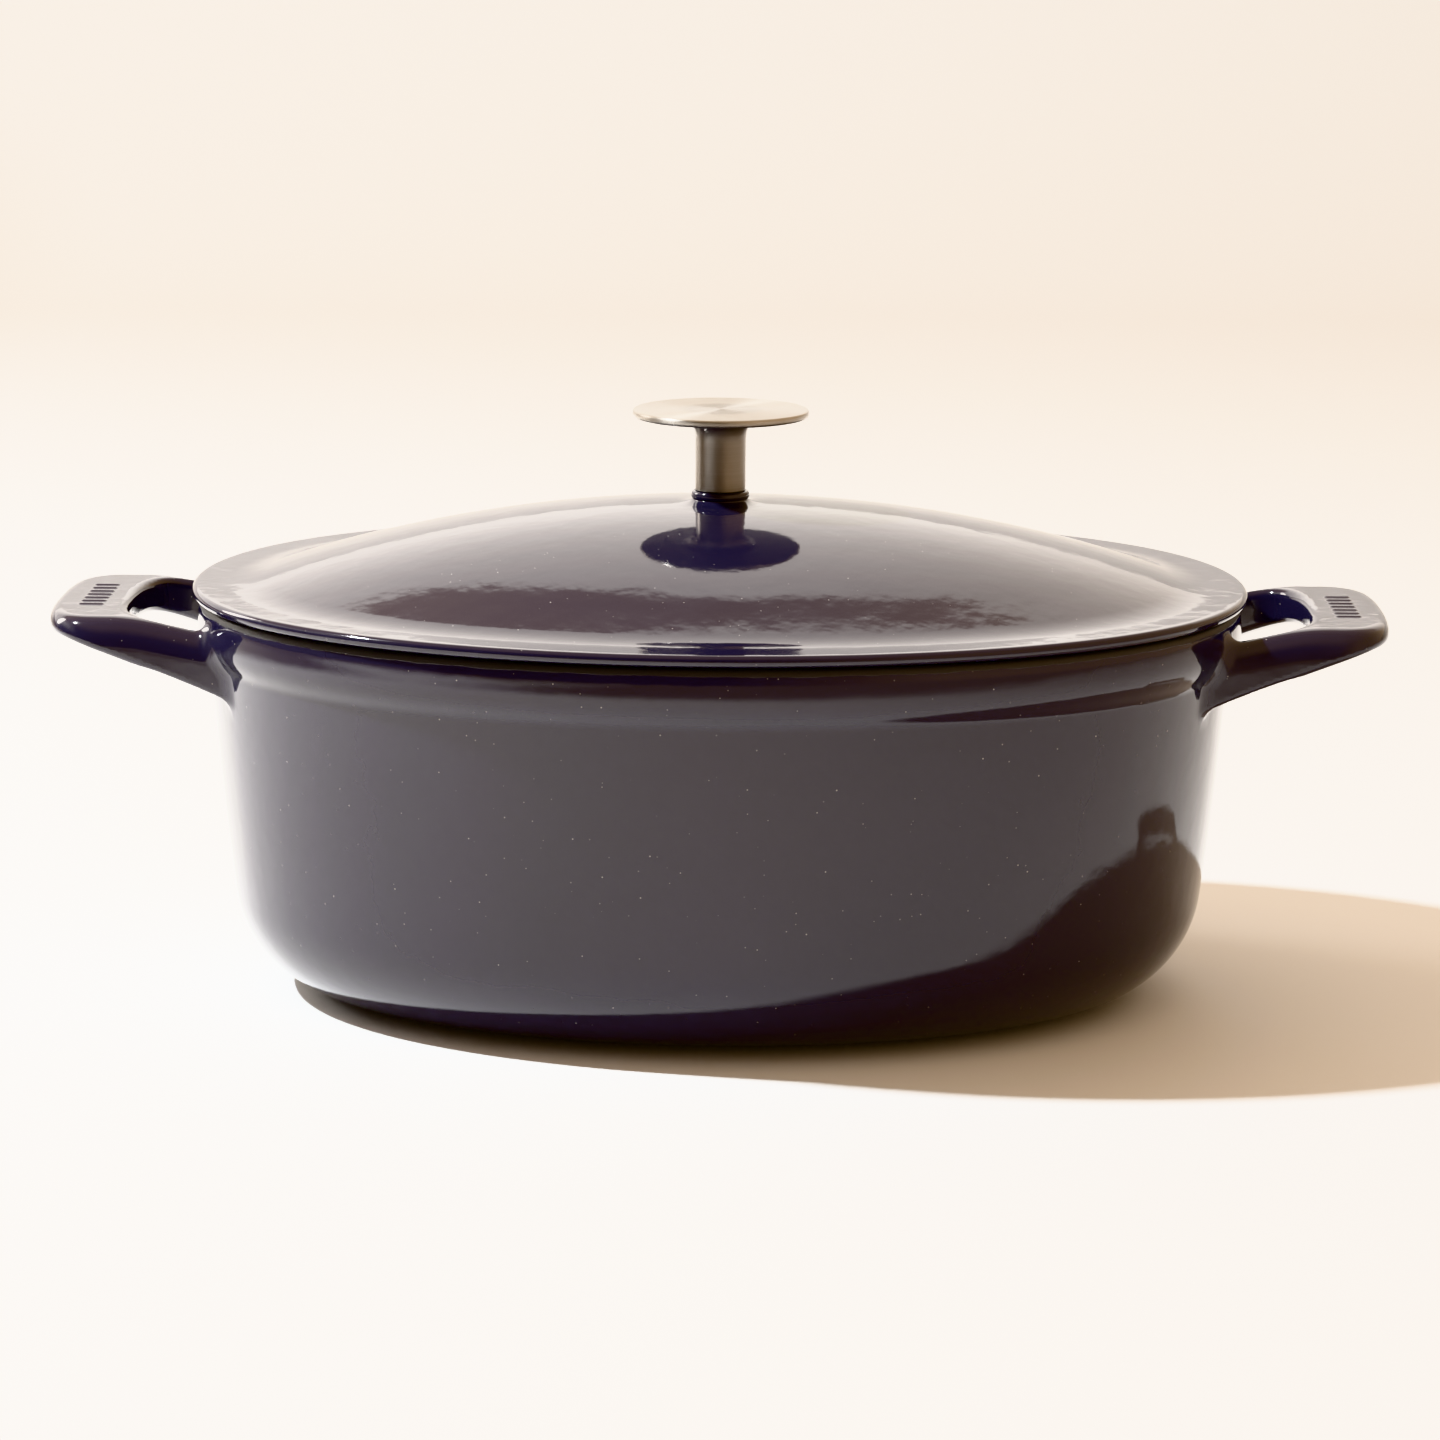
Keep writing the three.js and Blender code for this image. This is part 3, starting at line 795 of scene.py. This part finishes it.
def boss_outline():
    """The boss under the knob, from its screw hole out to the dome."""
    boss = Outline(SCREW_HOLE, BOSS_TOP - HOLE_EASE)
    boss.curve((SCREW_HOLE, BOSS_TOP), (SCREW_HOLE + HOLE_EASE, BOSS_TOP), steps=3)
    boss.line(BOSS_RADIUS - 0.9, BOSS_TOP, steps=3)
    boss.curve((BOSS_RADIUS + 0.2, BOSS_TOP), (BOSS_RADIUS + 0.2, BOSS_FOOT), steps=8)
    boss.curve((BOSS_RADIUS + 0.2, 32.3), (BOSS_RADIUS - 0.3, GROOVE_Z), steps=6)
    near_skirt = SKIRT_RADIUS - 1.5
    boss.curve(
        (BOSS_RADIUS + 0.3, 31.1),
        (near_skirt, dome_height(near_skirt, CROWN) + 0.15),
        (SKIRT_RADIUS, dome_height(SKIRT_RADIUS, CROWN)),
        steps=8,
    )
    return boss.points


def brim_outline():
    """The brim from the dome's foot, round its edge, and over the spigot to the hollow dome."""
    foot = BRIM_TOP + DOME_FOOT_RISE
    edge_x = LID_HALF_LENGTH - EDGE_RADIUS
    spigot_inner, spigot_outer, spigot_end = SPIGOT
    brim = Outline(DOME_FOOT, foot)
    brim.curve((BRIM_BEND, BRIM_TOP), (BRIM_INNER, BRIM_TOP), steps=14)
    brim.line(edge_x, BRIM_TOP, steps=5)
    brim.arc(edge_x, BRIM_TOP - EDGE_RADIUS, EDGE_RADIUS, math.pi / 2, -math.pi / 2, steps=18)
    brim.line(RIM_OUTER + 0.7, EDGE_BOTTOM)
    brim.line(RIM_OUTER, 0)
    brim.line(spigot_outer + 0.5, 0, steps=3)
    brim.curve((spigot_outer, 0), (spigot_outer, -0.6), steps=3)
    brim.line(spigot_outer, spigot_end + 1, steps=3)
    brim.curve((spigot_outer, spigot_end), (spigot_outer - 1.2, spigot_end), steps=5)
    brim.curve((spigot_inner, spigot_end), (spigot_inner - 0.1, spigot_end + 1.6), steps=5)
    under_brim = BRIM_TOP - LID_THICKNESS
    brim.curve(
        (spigot_inner - 0.8, under_brim),
        (BRIM_BEND - 1, under_brim),
        (DOME_FOOT, foot - LID_THICKNESS),
        steps=14,
    )
    return brim.points


def pad_outline():
    """The flat pad under the boss, in to the screw hole."""
    under = dome_height(SKIRT_RADIUS, CROWN - LID_THICKNESS)
    pad = Outline(SKIRT_RADIUS, under)
    pad.line(PAD_RADIUS, under, steps=2)
    pad.line(SCREW_HOLE + HOLE_EASE, under, steps=3)
    pad.curve((SCREW_HOLE, under), (SCREW_HOLE, under + HOLE_EASE), steps=3)
    return pad.points


def lid_rings():
    """The lid's section from the top of the screw hole, out over the dome, round and back in.

    Each ring is (half-length or radius, height above the seat, kind): boss and pad rings are round,
    dome rings take their height from the dome, and brim rings are ovals at a stated height.
    """
    rings = [(r, z, "round") for r, z in boss_outline()]
    for s in np.linspace(SKIRT_RADIUS, DOME_FOOT, 46)[1:]:
        rings.append((s, CROWN, "dome"))
    rings += [(s, z, "brim") for s, z in brim_outline()[1:]]
    for s in np.linspace(DOME_FOOT, SKIRT_RADIUS, 34)[1:]:
        rings.append((s, CROWN - LID_THICKNESS, "dome"))
    rings += [(r, z, "round") for r, z in pad_outline()[1:]]
    return rings


def ring_points(s, height, kind):
    """The points of one ring of the lid. Dome rings pass from round by the boss to oval."""
    angles = round_angles(LID_COLUMNS)
    round_x, round_y = s * np.cos(angles), s * np.sin(angles)
    z = np.full(LID_COLUMNS, height)
    if kind == "round":
        return np.stack([round_x, round_y, z + SEAT_Z], 1)
    x, y = oval(s, angles, dome_share(np.float64(s)))
    if kind == "dome":
        t = np.clip((s - SKIRT_RADIUS) / (ROUND_OUT - SKIRT_RADIUS), 0, 1)
        oval_part = t * t * (3 - 2 * t)
        x = round_x * (1 - oval_part) + x * oval_part
        y = round_y * (1 - oval_part) + y * oval_part
        reached = similar_half_length(x, y) if s < ROUND_OUT else np.full(LID_COLUMNS, s)
        z = dome_height(reached, height)
    return np.stack([x, y, z + SEAT_Z], 1)


def lid():
    """The lid, with each ring's count from the seat's outer edge stored for the enamel's borders."""
    rings = lid_rings()
    vertices = [ring_points(*ring) for ring in rings]
    faces = ring_faces(len(rings), LID_COLUMNS, closed=True)
    piece = new_solid("lid_casting", np.vstack(vertices), faces)
    seat_start = rings.index((RIM_OUTER, 0, "brim"))
    store_section(piece, np.repeat(np.arange(len(rings)) - seat_start, LID_COLUMNS))
    return piece


# ---- Knob and its fixings ----

BORE = 3.3
BORE_DEPTH = 17
DRILL_POINT = 18.5
STEM_RADIUS = 8.4
STEM_EASE = 0.5
FLARE_HEIGHT = 8
FLARE_RADIUS = 15
DISC_THICKNESS = 2.5
DISH = 0.3


def knob():
    """The knob, turned in one piece: a disc that flares from a stem with a blind bore."""
    low, high = cad_size("knob")
    bottom, top = low[2], high[2]
    disc = high[0]
    under = top - DISC_THICKNESS
    path = Outline(0, bottom + DRILL_POINT)
    path.line(BORE, bottom + BORE_DEPTH)
    path.line(BORE, bottom + STEM_EASE, steps=4)
    path.curve((BORE, bottom), (BORE + STEM_EASE, bottom), steps=3)
    path.line(STEM_RADIUS - STEM_EASE, bottom, steps=2)
    path.curve((STEM_RADIUS, bottom), (STEM_RADIUS, bottom + STEM_EASE), steps=4)
    path.line(STEM_RADIUS, under - FLARE_HEIGHT, steps=6)
    path.curve((STEM_RADIUS, under - DISH), (FLARE_RADIUS, under - DISH), steps=20)
    path.line(disc - 1.1, under, steps=6)
    path.curve((disc - 0.1, under), (disc, under + 1.0), steps=6)
    path.line(disc, top - 0.9, steps=2)
    path.curve((disc, top - 0.05), (disc - 0.9, top), steps=6)
    for radius in np.linspace(disc - 0.9, 0.5, 22)[1:]:
        path.line(radius, top)
    path.line(0, top)
    return turned_solid("knob_turned", path.points, columns=192)


WASHER_BORE = 3.3


def bevelled_ring(inner, outer, low, high, bevel):
    """The closed profile of a ring with bevelled corners."""
    across = (inner, inner + bevel, outer - bevel, outer)
    up = (low, low + bevel, high - bevel, high)
    corners = ((1, 0), (2, 0), (3, 1), (3, 2), (2, 3), (1, 3), (0, 2), (0, 1))
    return [(across[i], up[j]) for i, j in corners]


def flat_washer():
    low, high = cad_size("flat_washer")
    profile = bevelled_ring(WASHER_BORE, high[0], low[2], high[2], 0.15)
    return turned_ring("flat_washer_turned", profile)


LOCK_WASHER_RADIUS = 5.6
LOCK_WASHER_GAP = 1.2
LOCK_WASHER_RISE = 0.25


def lock_washer():
    """A spring washer of square wire, split and slightly sprung."""
    low, high = cad_size("lock_washer")
    wire_top = high[2] - LOCK_WASHER_RISE
    profile = bevelled_ring(WASHER_BORE, LOCK_WASHER_RADIUS, low[2], wire_top, 0.12)
    half_gap = math.asin(LOCK_WASHER_GAP / 2 / LOCK_WASHER_RADIUS)
    turns = np.linspace(half_gap, 2 * np.pi - half_gap, 97)
    vertices = []
    for i, a in enumerate(turns):
        lift = LOCK_WASHER_RISE * i / (len(turns) - 1)
        for radius, z in profile:
            vertices.append((radius * math.cos(a), radius * math.sin(a), z + lift))
    faces = ring_faces(len(turns), len(profile))
    faces.append(tuple(range(len(profile))))
    faces.append(tuple((len(turns) - 1) * len(profile) + i for i in range(len(profile))))
    return new_solid("lock_washer_coil", vertices, faces)


THREAD_PITCH = 1.0
THREAD_DEPTH = 0.45
SHANK_RADIUS = 3.0
PLAIN_SHANK = 4
HEAD_RADIUS = 6.0
HEAD_HEIGHT = 3.6
HEAD_FLAT = 4.0
TAPER_START = 1


def screw():
    """A pan-head screw on its head, with a cross recess and a threaded shank."""
    low, high = cad_size("knob_screw")
    bottom, top = low[2], high[2]
    head = bottom + HEAD_HEIGHT
    path = Outline(0, bottom)
    path.line(HEAD_FLAT, bottom, steps=4)
    path.curve((HEAD_RADIUS - 0.1, bottom + 0.1), (HEAD_RADIUS, bottom + 2.0), steps=8)
    path.line(HEAD_RADIUS, head - 0.2, steps=2)
    path.line(HEAD_RADIUS - 0.2, head)
    path.line(SHANK_RADIUS + 0.3, head)
    path.curve((SHANK_RADIUS, head), (SHANK_RADIUS, head + 0.3), steps=3)
    path.line(SHANK_RADIUS, head + PLAIN_SHANK)
    crest = head + PLAIN_SHANK
    while crest + THREAD_PITCH < top - TAPER_START:
        path.line(SHANK_RADIUS - THREAD_DEPTH, crest + THREAD_PITCH / 2)
        path.line(SHANK_RADIUS, crest + THREAD_PITCH)
        crest += THREAD_PITCH
    path.line(2.2, top - 0.3)
    path.line(1.8, top)
    path.line(0, top)
    piece = turned_solid("knob_screw_threaded", path.points, columns=64)
    for turn in (0, math.pi / 2):
        combine(piece, recess_arm(bottom, turn), "DIFFERENCE")
    piece.data.shade_smooth()
    piece.data.set_sharp_from_angle(angle=math.radians(40))
    return piece


RECESS_DEPTH = 2.0
RECESS_MOUTH = (4.4, 0.75)
RECESS_BOTTOM = (2.2, 0.45)


def recess_arm(bottom, turn):
    """A tapered blade that cuts one arm of the cross recess."""
    corners = []
    levels = ((bottom - 1, RECESS_MOUTH), (bottom + RECESS_DEPTH, RECESS_BOTTOM))
    for z, (half_length, half_width) in levels:
        for x, y in ((-1, -1), (1, -1), (1, 1), (-1, 1)):
            corners.append((x * half_length, y * half_width, z))
    faces = [(0, 3, 2, 1), (4, 5, 6, 7)]
    faces += [(i, (i + 1) % 4, (i + 1) % 4 + 4, i + 4) for i in range(4)]
    blade = new_solid("blade", corners, faces, smooth=False)
    blade.data.transform(Matrix.Rotation(turn, 4, "Z"))
    return blade


# ---- Materials ----


class Nodes:
    """The node tree of a material or world, with short calls to add and link nodes."""

    COLOR_INPUTS = (0, 6, 7)
    COLOR_OUTPUT = 2

    def __init__(self, owner, shader="Principled BSDF"):
        owner.use_nodes = True
        self.owner = owner
        self.tree = owner.node_tree
        self.shader = self.tree.nodes[shader]

    def add(self, kind, inputs=None, **settings):
        node = self.tree.nodes.new(kind)
        for key, value in settings.items():
            setattr(node, key, value)
        for key, value in (inputs or {}).items():
            self.feed(node.inputs[key], value)
        return node

    def feed(self, socket, value):
        """Links a socket to another node's output, or sets its value."""
        if isinstance(value, bpy.types.NodeSocket):
            self.tree.links.new(value, socket)
        else:
            socket.default_value = value

    def set(self, **values):
        """Sets or links the shader's sockets, named with _ for a space."""
        for key, value in values.items():
            self.feed(self.shader.inputs[key.replace("_", " ")], value)

    def coordinates(self):
        """Object coordinates in millimetres."""
        where = self.add("ShaderNodeTexCoord").outputs["Object"]
        scale = (1 / MM, 1 / MM, 1 / MM)
        return self.add("ShaderNodeMapping", {"Vector": where, "Scale": scale}).outputs["Vector"]

    def noise(self, vector, size, detail=2.0, roughness=0.5):
        """Noise whose features are about this many millimetres across."""
        return self.add(
            "ShaderNodeTexNoise",
            {"Vector": vector, "Scale": 1 / size, "Detail": detail, "Roughness": roughness},
        ).outputs["Fac"]

    def ramp(self, factor, *stops):
        """A colour that runs through stops of (place, colour)."""
        node = self.add("ShaderNodeValToRGB", {"Fac": factor})
        elements = node.color_ramp.elements
        while len(elements) < len(stops):
            elements.new(0.5)
        for element, (place, color) in zip(elements, stops):
            element.position = place
            element.color = color if len(color) == 4 else (*color, 1)
        return node.outputs["Color"]

    def spread(self, factor, low, high, to_low=0.0, to_high=1.0):
        """Maps low to high on to to_low to to_high, and holds the end values outside."""
        return self.add(
            "ShaderNodeMapRange",
            {"Value": factor, "From Min": low, "From Max": high, "To Min": to_low, "To Max": to_high},
        ).outputs["Result"]

    def mix(self, factor, a, b):
        """A colour between a and b."""
        node = self.add("ShaderNodeMix", data_type="RGBA")
        for number, value in zip(self.COLOR_INPUTS, (factor, a, b)):
            self.feed(node.inputs[number], value)
        return node.outputs[self.COLOR_OUTPUT]

    def math(self, operation, a, b):
        node = self.add("ShaderNodeMath", operation=operation)
        for socket, value in zip(node.inputs, (a, b)):
            self.feed(socket, value)
        return node.outputs[0]

    def bump(self, height, distance, normal=None):
        """A bump this many millimetres high, over the bump in normal."""
        inputs = {"Height": height, "Distance": distance * MM, "Strength": 1.0}
        if normal is not None:
            inputs["Normal"] = normal
        return self.add("ShaderNodeBump", inputs).outputs["Normal"]


NAVY = (0.0122, 0.0108, 0.0208, 1)
NAVY_LIGHT = (0.0156, 0.0140, 0.0262, 1)
FLECK = (0.22, 0.20, 0.185, 1)
SAND = (0.72, 0.655, 0.55, 1)
SAND_LIGHT = (0.78, 0.72, 0.62, 1)
RIM_BLACK = (0.012, 0.011, 0.011, 1)
REFLECTION_TINT = (1.0, 0.955, 0.93, 1)
ENAMEL_IOR = 1.52
NOISE_RANGE = (0.3, 0.7)
BORDER_WANDER = 0.25
BORDER_BLUR = 0.15
FLECK_CELL = 3.0
FLECK_EDGE = (0.05, 0.1)
FLECK_RARITY = (0.5, 0.95)
GLOSS = (0.045, 0.085)
RIM_ROUGHNESS = 0.45
RIPPLE_HEIGHT = 0.10
PEEL_HEIGHT = 0.018
PORE_HEIGHT = 0.12


def enamel(name, rim_start, rim_end):
    """Glossy navy enamel outside, sand enamel inside, and a matt black band where they meet.

    rim_start and rim_end are where the black band begins and ends along the stored section.
    """
    nodes = Nodes(bpy.data.materials.new(name))
    where = nodes.coordinates()
    section = nodes.add("ShaderNodeAttribute", attribute_name="section").outputs["Fac"]
    uneven = nodes.noise(where, 9.0, detail=3)
    wander = nodes.spread(uneven, *NOISE_RANGE, -BORDER_WANDER, BORDER_WANDER)
    border = nodes.math("ADD", section, wander)
    on_rim = nodes.spread(border, rim_start - BORDER_BLUR, rim_start + BORDER_BLUR)
    inside = nodes.spread(border, rim_end - BORDER_BLUR, rim_end + BORDER_BLUR)
    navy = nodes.mix(nodes.noise(where, 35.0, detail=4, roughness=0.6), NAVY, NAVY_LIGHT)
    layout = {"Vector": where, "Scale": 1 / FLECK_CELL, "Randomness": 1.0}
    cells = nodes.add("ShaderNodeTexVoronoi", layout)
    speck = nodes.spread(cells.outputs["Distance"], *FLECK_EDGE, 1, 0)
    rarity = nodes.add("ShaderNodeSeparateColor", {"Color": cells.outputs["Color"]})
    chosen = nodes.spread(rarity.outputs["Red"], *FLECK_RARITY)
    flecks = nodes.math("MULTIPLY", speck, chosen)
    navy = nodes.mix(flecks, navy, FLECK)
    sand = nodes.mix(nodes.noise(where, 24.0, detail=5, roughness=0.65), SAND, SAND_LIGHT)
    color = nodes.mix(on_rim, navy, RIM_BLACK)
    color = nodes.mix(inside, color, sand)
    gloss = nodes.spread(nodes.noise(where, 18.0, detail=3), *NOISE_RANGE, *GLOSS)
    rim_only = nodes.math("SUBTRACT", on_rim, inside)
    rough = nodes.math("ADD", gloss, nodes.math("MULTIPLY", rim_only, RIM_ROUGHNESS))
    ripple = nodes.bump(nodes.noise(where, 11.0, detail=1.5), RIPPLE_HEIGHT)
    peel = nodes.bump(nodes.noise(where, 3.2, detail=1.0), PEEL_HEIGHT, normal=ripple)
    pores = nodes.math("MULTIPLY", nodes.noise(where, 0.7, detail=2), rim_only)
    grain = nodes.bump(pores, PORE_HEIGHT, normal=peel)
    nodes.set(Base_Color=color, Roughness=rough, Normal=grain)
    nodes.set(IOR=ENAMEL_IOR, Specular_Tint=REFLECTION_TINT)
    return nodes.owner


# Near the axis the steel takes darker tones, which fade out between these two radii: painted shade for
# the stem under the disc, which also darkens the middle of the disc's top.
SHADED_WITHIN = 11.0
UNSHADED_FROM = 15.0
DISC_TONES = ((0.29, 0.26, 0.23, 1), (0.42, 0.39, 0.345, 1))
STEM_PAINTED_SHADE_TONES = ((0.20, 0.18, 0.16, 1), (0.32, 0.295, 0.265, 1))
FINE_SHARE = 0.6
COARSE_SHARE = 0.4
BRUSHED_ROUGHNESS = (0.27, 0.35)
SMEAR_ROUGHNESS = (-0.02, 0.03)
BRUSHED_HEIGHT = 0.006


def brushed_steel():
    """Turned and brushed steel, with rings on the disc's faces and round the stem. Its colour is darker
    near the axis, where the stem stands: painted shade under the disc.
    """
    nodes = Nodes(bpy.data.materials.new("brushed_steel"))
    where = nodes.coordinates()
    parts = nodes.add("ShaderNodeSeparateXYZ", {"Vector": where}).outputs
    square_x = nodes.math("MULTIPLY", parts["X"], parts["X"])
    square_y = nodes.math("MULTIPLY", parts["Y"], parts["Y"])
    radius = nodes.math("SQRT", nodes.math("ADD", square_x, square_y), 0.0)
    rings = nodes.add("ShaderNodeCombineXYZ", {"X": radius, "Y": parts["Z"]}).outputs["Vector"]
    fine = nodes.noise(rings, 0.16, detail=3, roughness=0.7)
    coarse = nodes.noise(rings, 1.1, detail=3, roughness=0.7)
    fine = nodes.math("MULTIPLY", fine, FINE_SHARE)
    coarse = nodes.math("MULTIPLY", coarse, COARSE_SHARE)
    lines = nodes.math("ADD", fine, coarse)
    disc = nodes.mix(lines, *DISC_TONES)
    # The stem's tones are darker copies of the disc's: painted shade under the disc.
    stem = nodes.mix(lines, *STEM_PAINTED_SHADE_TONES)
    tone = nodes.mix(nodes.spread(radius, SHADED_WITHIN, UNSHADED_FROM), stem, disc)
    smear = nodes.noise(where, 6.0, detail=3)
    brushed = nodes.spread(lines, *NOISE_RANGE, *BRUSHED_ROUGHNESS)
    smeared = nodes.spread(smear, *NOISE_RANGE, *SMEAR_ROUGHNESS)
    rough = nodes.math("ADD", brushed, smeared)
    around = nodes.add("ShaderNodeTangent", direction_type="RADIAL", axis="Z").outputs["Tangent"]
    nodes.set(
        Base_Color=tone,
        Metallic=1.0,
        Roughness=rough,
        Anisotropic=0.85,
        Anisotropic_Rotation=0.25,
        Tangent=around,
        Normal=nodes.bump(lines, BRUSHED_HEIGHT),
    )
    return nodes.owner


FASTENER_TONES = ((0.42, 0.41, 0.39, 1), (0.6, 0.59, 0.57, 1))
FASTENER_ROUGHNESS = (0.28, 0.42)
SCRATCH_HEIGHT = 0.01


def fastener_steel():
    """Plain bright steel, a little stained and scratched."""
    nodes = Nodes(bpy.data.materials.new("fastener_steel"))
    where = nodes.coordinates()
    grime = nodes.noise(where, 2.5, detail=4, roughness=0.65)
    tone = nodes.mix(grime, *FASTENER_TONES)
    scratches = nodes.noise(where, 0.3, detail=2)
    rough = nodes.spread(grime, *NOISE_RANGE, *FASTENER_ROUGHNESS)
    grain = nodes.bump(scratches, SCRATCH_HEIGHT)
    nodes.set(Base_Color=tone, Metallic=1.0, Roughness=rough, Normal=grain)
    return nodes.owner


PAPER_TONES = ((0.79, 0.775, 0.755, 1), (0.81, 0.795, 0.775, 1))
PAPER_TOOTH = 0.03


def studio_paper(name="studio_paper"):
    """Pale matt paper with a faint mottle and tooth."""
    nodes = Nodes(bpy.data.materials.new(name))
    where = nodes.coordinates()
    tone = nodes.mix(nodes.noise(where, 220.0, detail=4), *PAPER_TONES)
    tooth = nodes.bump(nodes.noise(where, 1.6, detail=2), PAPER_TOOTH)
    nodes.set(Base_Color=tone, Roughness=0.75, Normal=tooth)
    return nodes.owner


# ---- Studio ----


def backdrop():
    """A floor that sweeps up into a wall behind the pot."""
    front, bend, half_width = -4.0, 1.9, 5.0
    radius, height = 0.5, 0.6
    path = Outline(front, 0)
    path.line(bend, 0, steps=20)
    path.arc(bend, radius, radius, -math.pi / 2, 0, steps=24)
    path.line(bend + radius, height, steps=6)
    profile = path.array() / MM
    columns = np.linspace(-half_width, half_width, 13) / MM
    vertices = [(x, y, z) for y, z in profile for x in columns]
    faces = ring_faces(len(profile), len(columns), round_trip=False)
    sweep = new_object("backdrop", vertices, faces)
    sweep.data.materials.append(studio_paper())


def area_light(name, place, aim, size, power, color):
    """A round light at place that faces aim."""
    data = bpy.data.lights.new(name, "AREA")
    data.shape = "DISK"
    data.size = size
    data.energy = power
    data.color = color
    light = bpy.data.objects.new(name, data)
    light.location = place
    light.rotation_euler = (Vector(aim) - Vector(place)).to_track_quat("-Z", "Y").to_euler()
    bpy.context.scene.collection.objects.link(light)


WORLD_STRENGTH = 3.0
CEILING = (0.33, 0.245, 0.17)
BEHIND = ((0.0, (0.88, 0.82, 0.76)), (0.764, (0.84, 0.77, 0.69)), (0.778, CEILING))
FRONT = ((0.0, (0.045, 0.034, 0.025)), (0.55, (0.05, 0.038, 0.028)), (0.85, CEILING))
LEFT = ((0.3, (0.10, 0.085, 0.07)), (0.6, (1.0, 0.94, 0.85)))
RIGHT = (0.36, 0.265, 0.18, 1)
CEILING_ARCH = 3.2
ARCH_LIMIT = 0.07
FRONT_TO_BEHIND = (-0.2, 0.25)
MIDDLE_TO_RIGHT = (0.0, 0.6)
MIDDLE_TO_LEFT = (-0.7, -0.95)


def world_light():
    """A room: pale behind the pot, dim behind the camera, warm on the right, bright high left.

    The dim ceiling's edge arches down to both sides, and shows as the dark patch low on the lid.
    """
    nodes = Nodes(bpy.data.worlds.new("room"), "Background")
    bpy.context.scene.world = nodes.owner
    direction = nodes.add("ShaderNodeTexCoord").outputs["Generated"]
    parts = nodes.add("ShaderNodeSeparateXYZ", {"Vector": direction}).outputs
    across = nodes.math("MINIMUM", nodes.math("MULTIPLY", parts["X"], parts["X"]), ARCH_LIMIT)
    arched = nodes.math("ADD", parts["Z"], nodes.math("MULTIPLY", across, CEILING_ARCH))
    behind = nodes.ramp(arched, *BEHIND)
    front = nodes.ramp(parts["Z"], *FRONT)
    left = nodes.ramp(parts["Z"], *LEFT)
    room = nodes.mix(nodes.spread(parts["Y"], *FRONT_TO_BEHIND), front, behind)
    room = nodes.mix(nodes.spread(parts["X"], *MIDDLE_TO_RIGHT), room, RIGHT)
    room = nodes.mix(nodes.spread(parts["X"], *MIDDLE_TO_LEFT), room, left)
    nodes.set(Color=room, Strength=WORLD_STRENGTH)


# Each light's place, aim, size, power and colour.
KEY = ((-1.25, -0.03, 1.5), (0, 0, 0.07), 0.10, 116, (0.90, 0.95, 1.0))
SIDE = ((-1.7, 1.0, 0.9), (-0.4, 1.6, 0.1), 0.9, 22, (1.0, 0.96, 0.91))
CARD_HEIGHT = 1.19
FRONT_SHADE = ((-0.55, 4.0), (-4.0, -0.62))
LEFT_SHADE = ((-5.0, -0.70), (-0.4, 2.2))


def flag(name, floor_x, floor_y):
    """A level card under the key light that shades a stretch of floor the camera never sees."""
    x, y, z = KEY[0]
    share = (z - CARD_HEIGHT) / z
    sides = [x + (edge - x) * share for edge in floor_x]
    ends = [y + (edge - y) * share for edge in floor_y]
    corners = [(sides[i], ends[j], CARD_HEIGHT) for i, j in ((0, 0), (1, 0), (1, 1), (0, 1))]
    card = new_object(name, np.array(corners) / MM, [(0, 1, 2, 3)], smooth=False)
    card.data.materials.append(studio_paper(name + "_card"))
    card.visible_camera = False
    card.visible_glossy = False
    card.visible_diffuse = False


def studio():
    backdrop()
    world_light()
    area_light("key", *KEY)
    area_light("side", *SIDE)
    flag("front_flag", *FRONT_SHADE)
    flag("left_flag", *LEFT_SHADE)


CAMERA_LENS = 116.3
CAMERA_PLACE = Vector((0.0303, -1.5175, 0.4024))
CAMERA_AIM = Vector((0.0004, 0, 0.0883))
CAMERA_ROLL = math.radians(0.383)


def camera():
    data = bpy.data.cameras.new("camera")
    data.lens = CAMERA_LENS
    data.sensor_width = 36
    view = bpy.data.objects.new("camera", data)
    turn = (CAMERA_AIM - CAMERA_PLACE).to_track_quat("-Z", "Y").to_matrix().to_4x4()
    roll = Matrix.Rotation(CAMERA_ROLL, 4, "Z")
    view.matrix_world = Matrix.Translation(CAMERA_PLACE) @ turn @ roll
    bpy.context.scene.collection.objects.link(view)
    bpy.context.scene.camera = view


# ---- Assembly ----


def place_piece(piece, material, body, node):
    """Gives a piece its material, and puts it in the place of a CAD node."""
    piece.data.materials.clear()
    piece.data.materials.append(material)
    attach(piece, body)
    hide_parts(node)


# The pot's borders are distances along its section, and the lid's are ring counts.
POT_BAND = (STATIONS[RIM_START] - 3.0, STATIONS[RIM_END] + 1.0)
LID_BAND = (-0.5, 3.5)

camera()
studio()
place_piece(pot_body(), enamel("pot_enamel", *POT_BAND), "pot", "pot_body")
place_piece(lid(), enamel("lid_enamel", *LID_BAND), "lid", "lid")
place_piece(knob(), brushed_steel(), "lid", "knob")
fixing = fastener_steel()
place_piece(screw(), fixing, "lid", "knob_screw")
place_piece(flat_washer(), fixing, "lid", "flat_washer")
place_piece(lock_washer(), fixing, "lid", "lock_washer")
bpy.context.scene.view_settings.view_transform = "Khronos PBR Neutral"
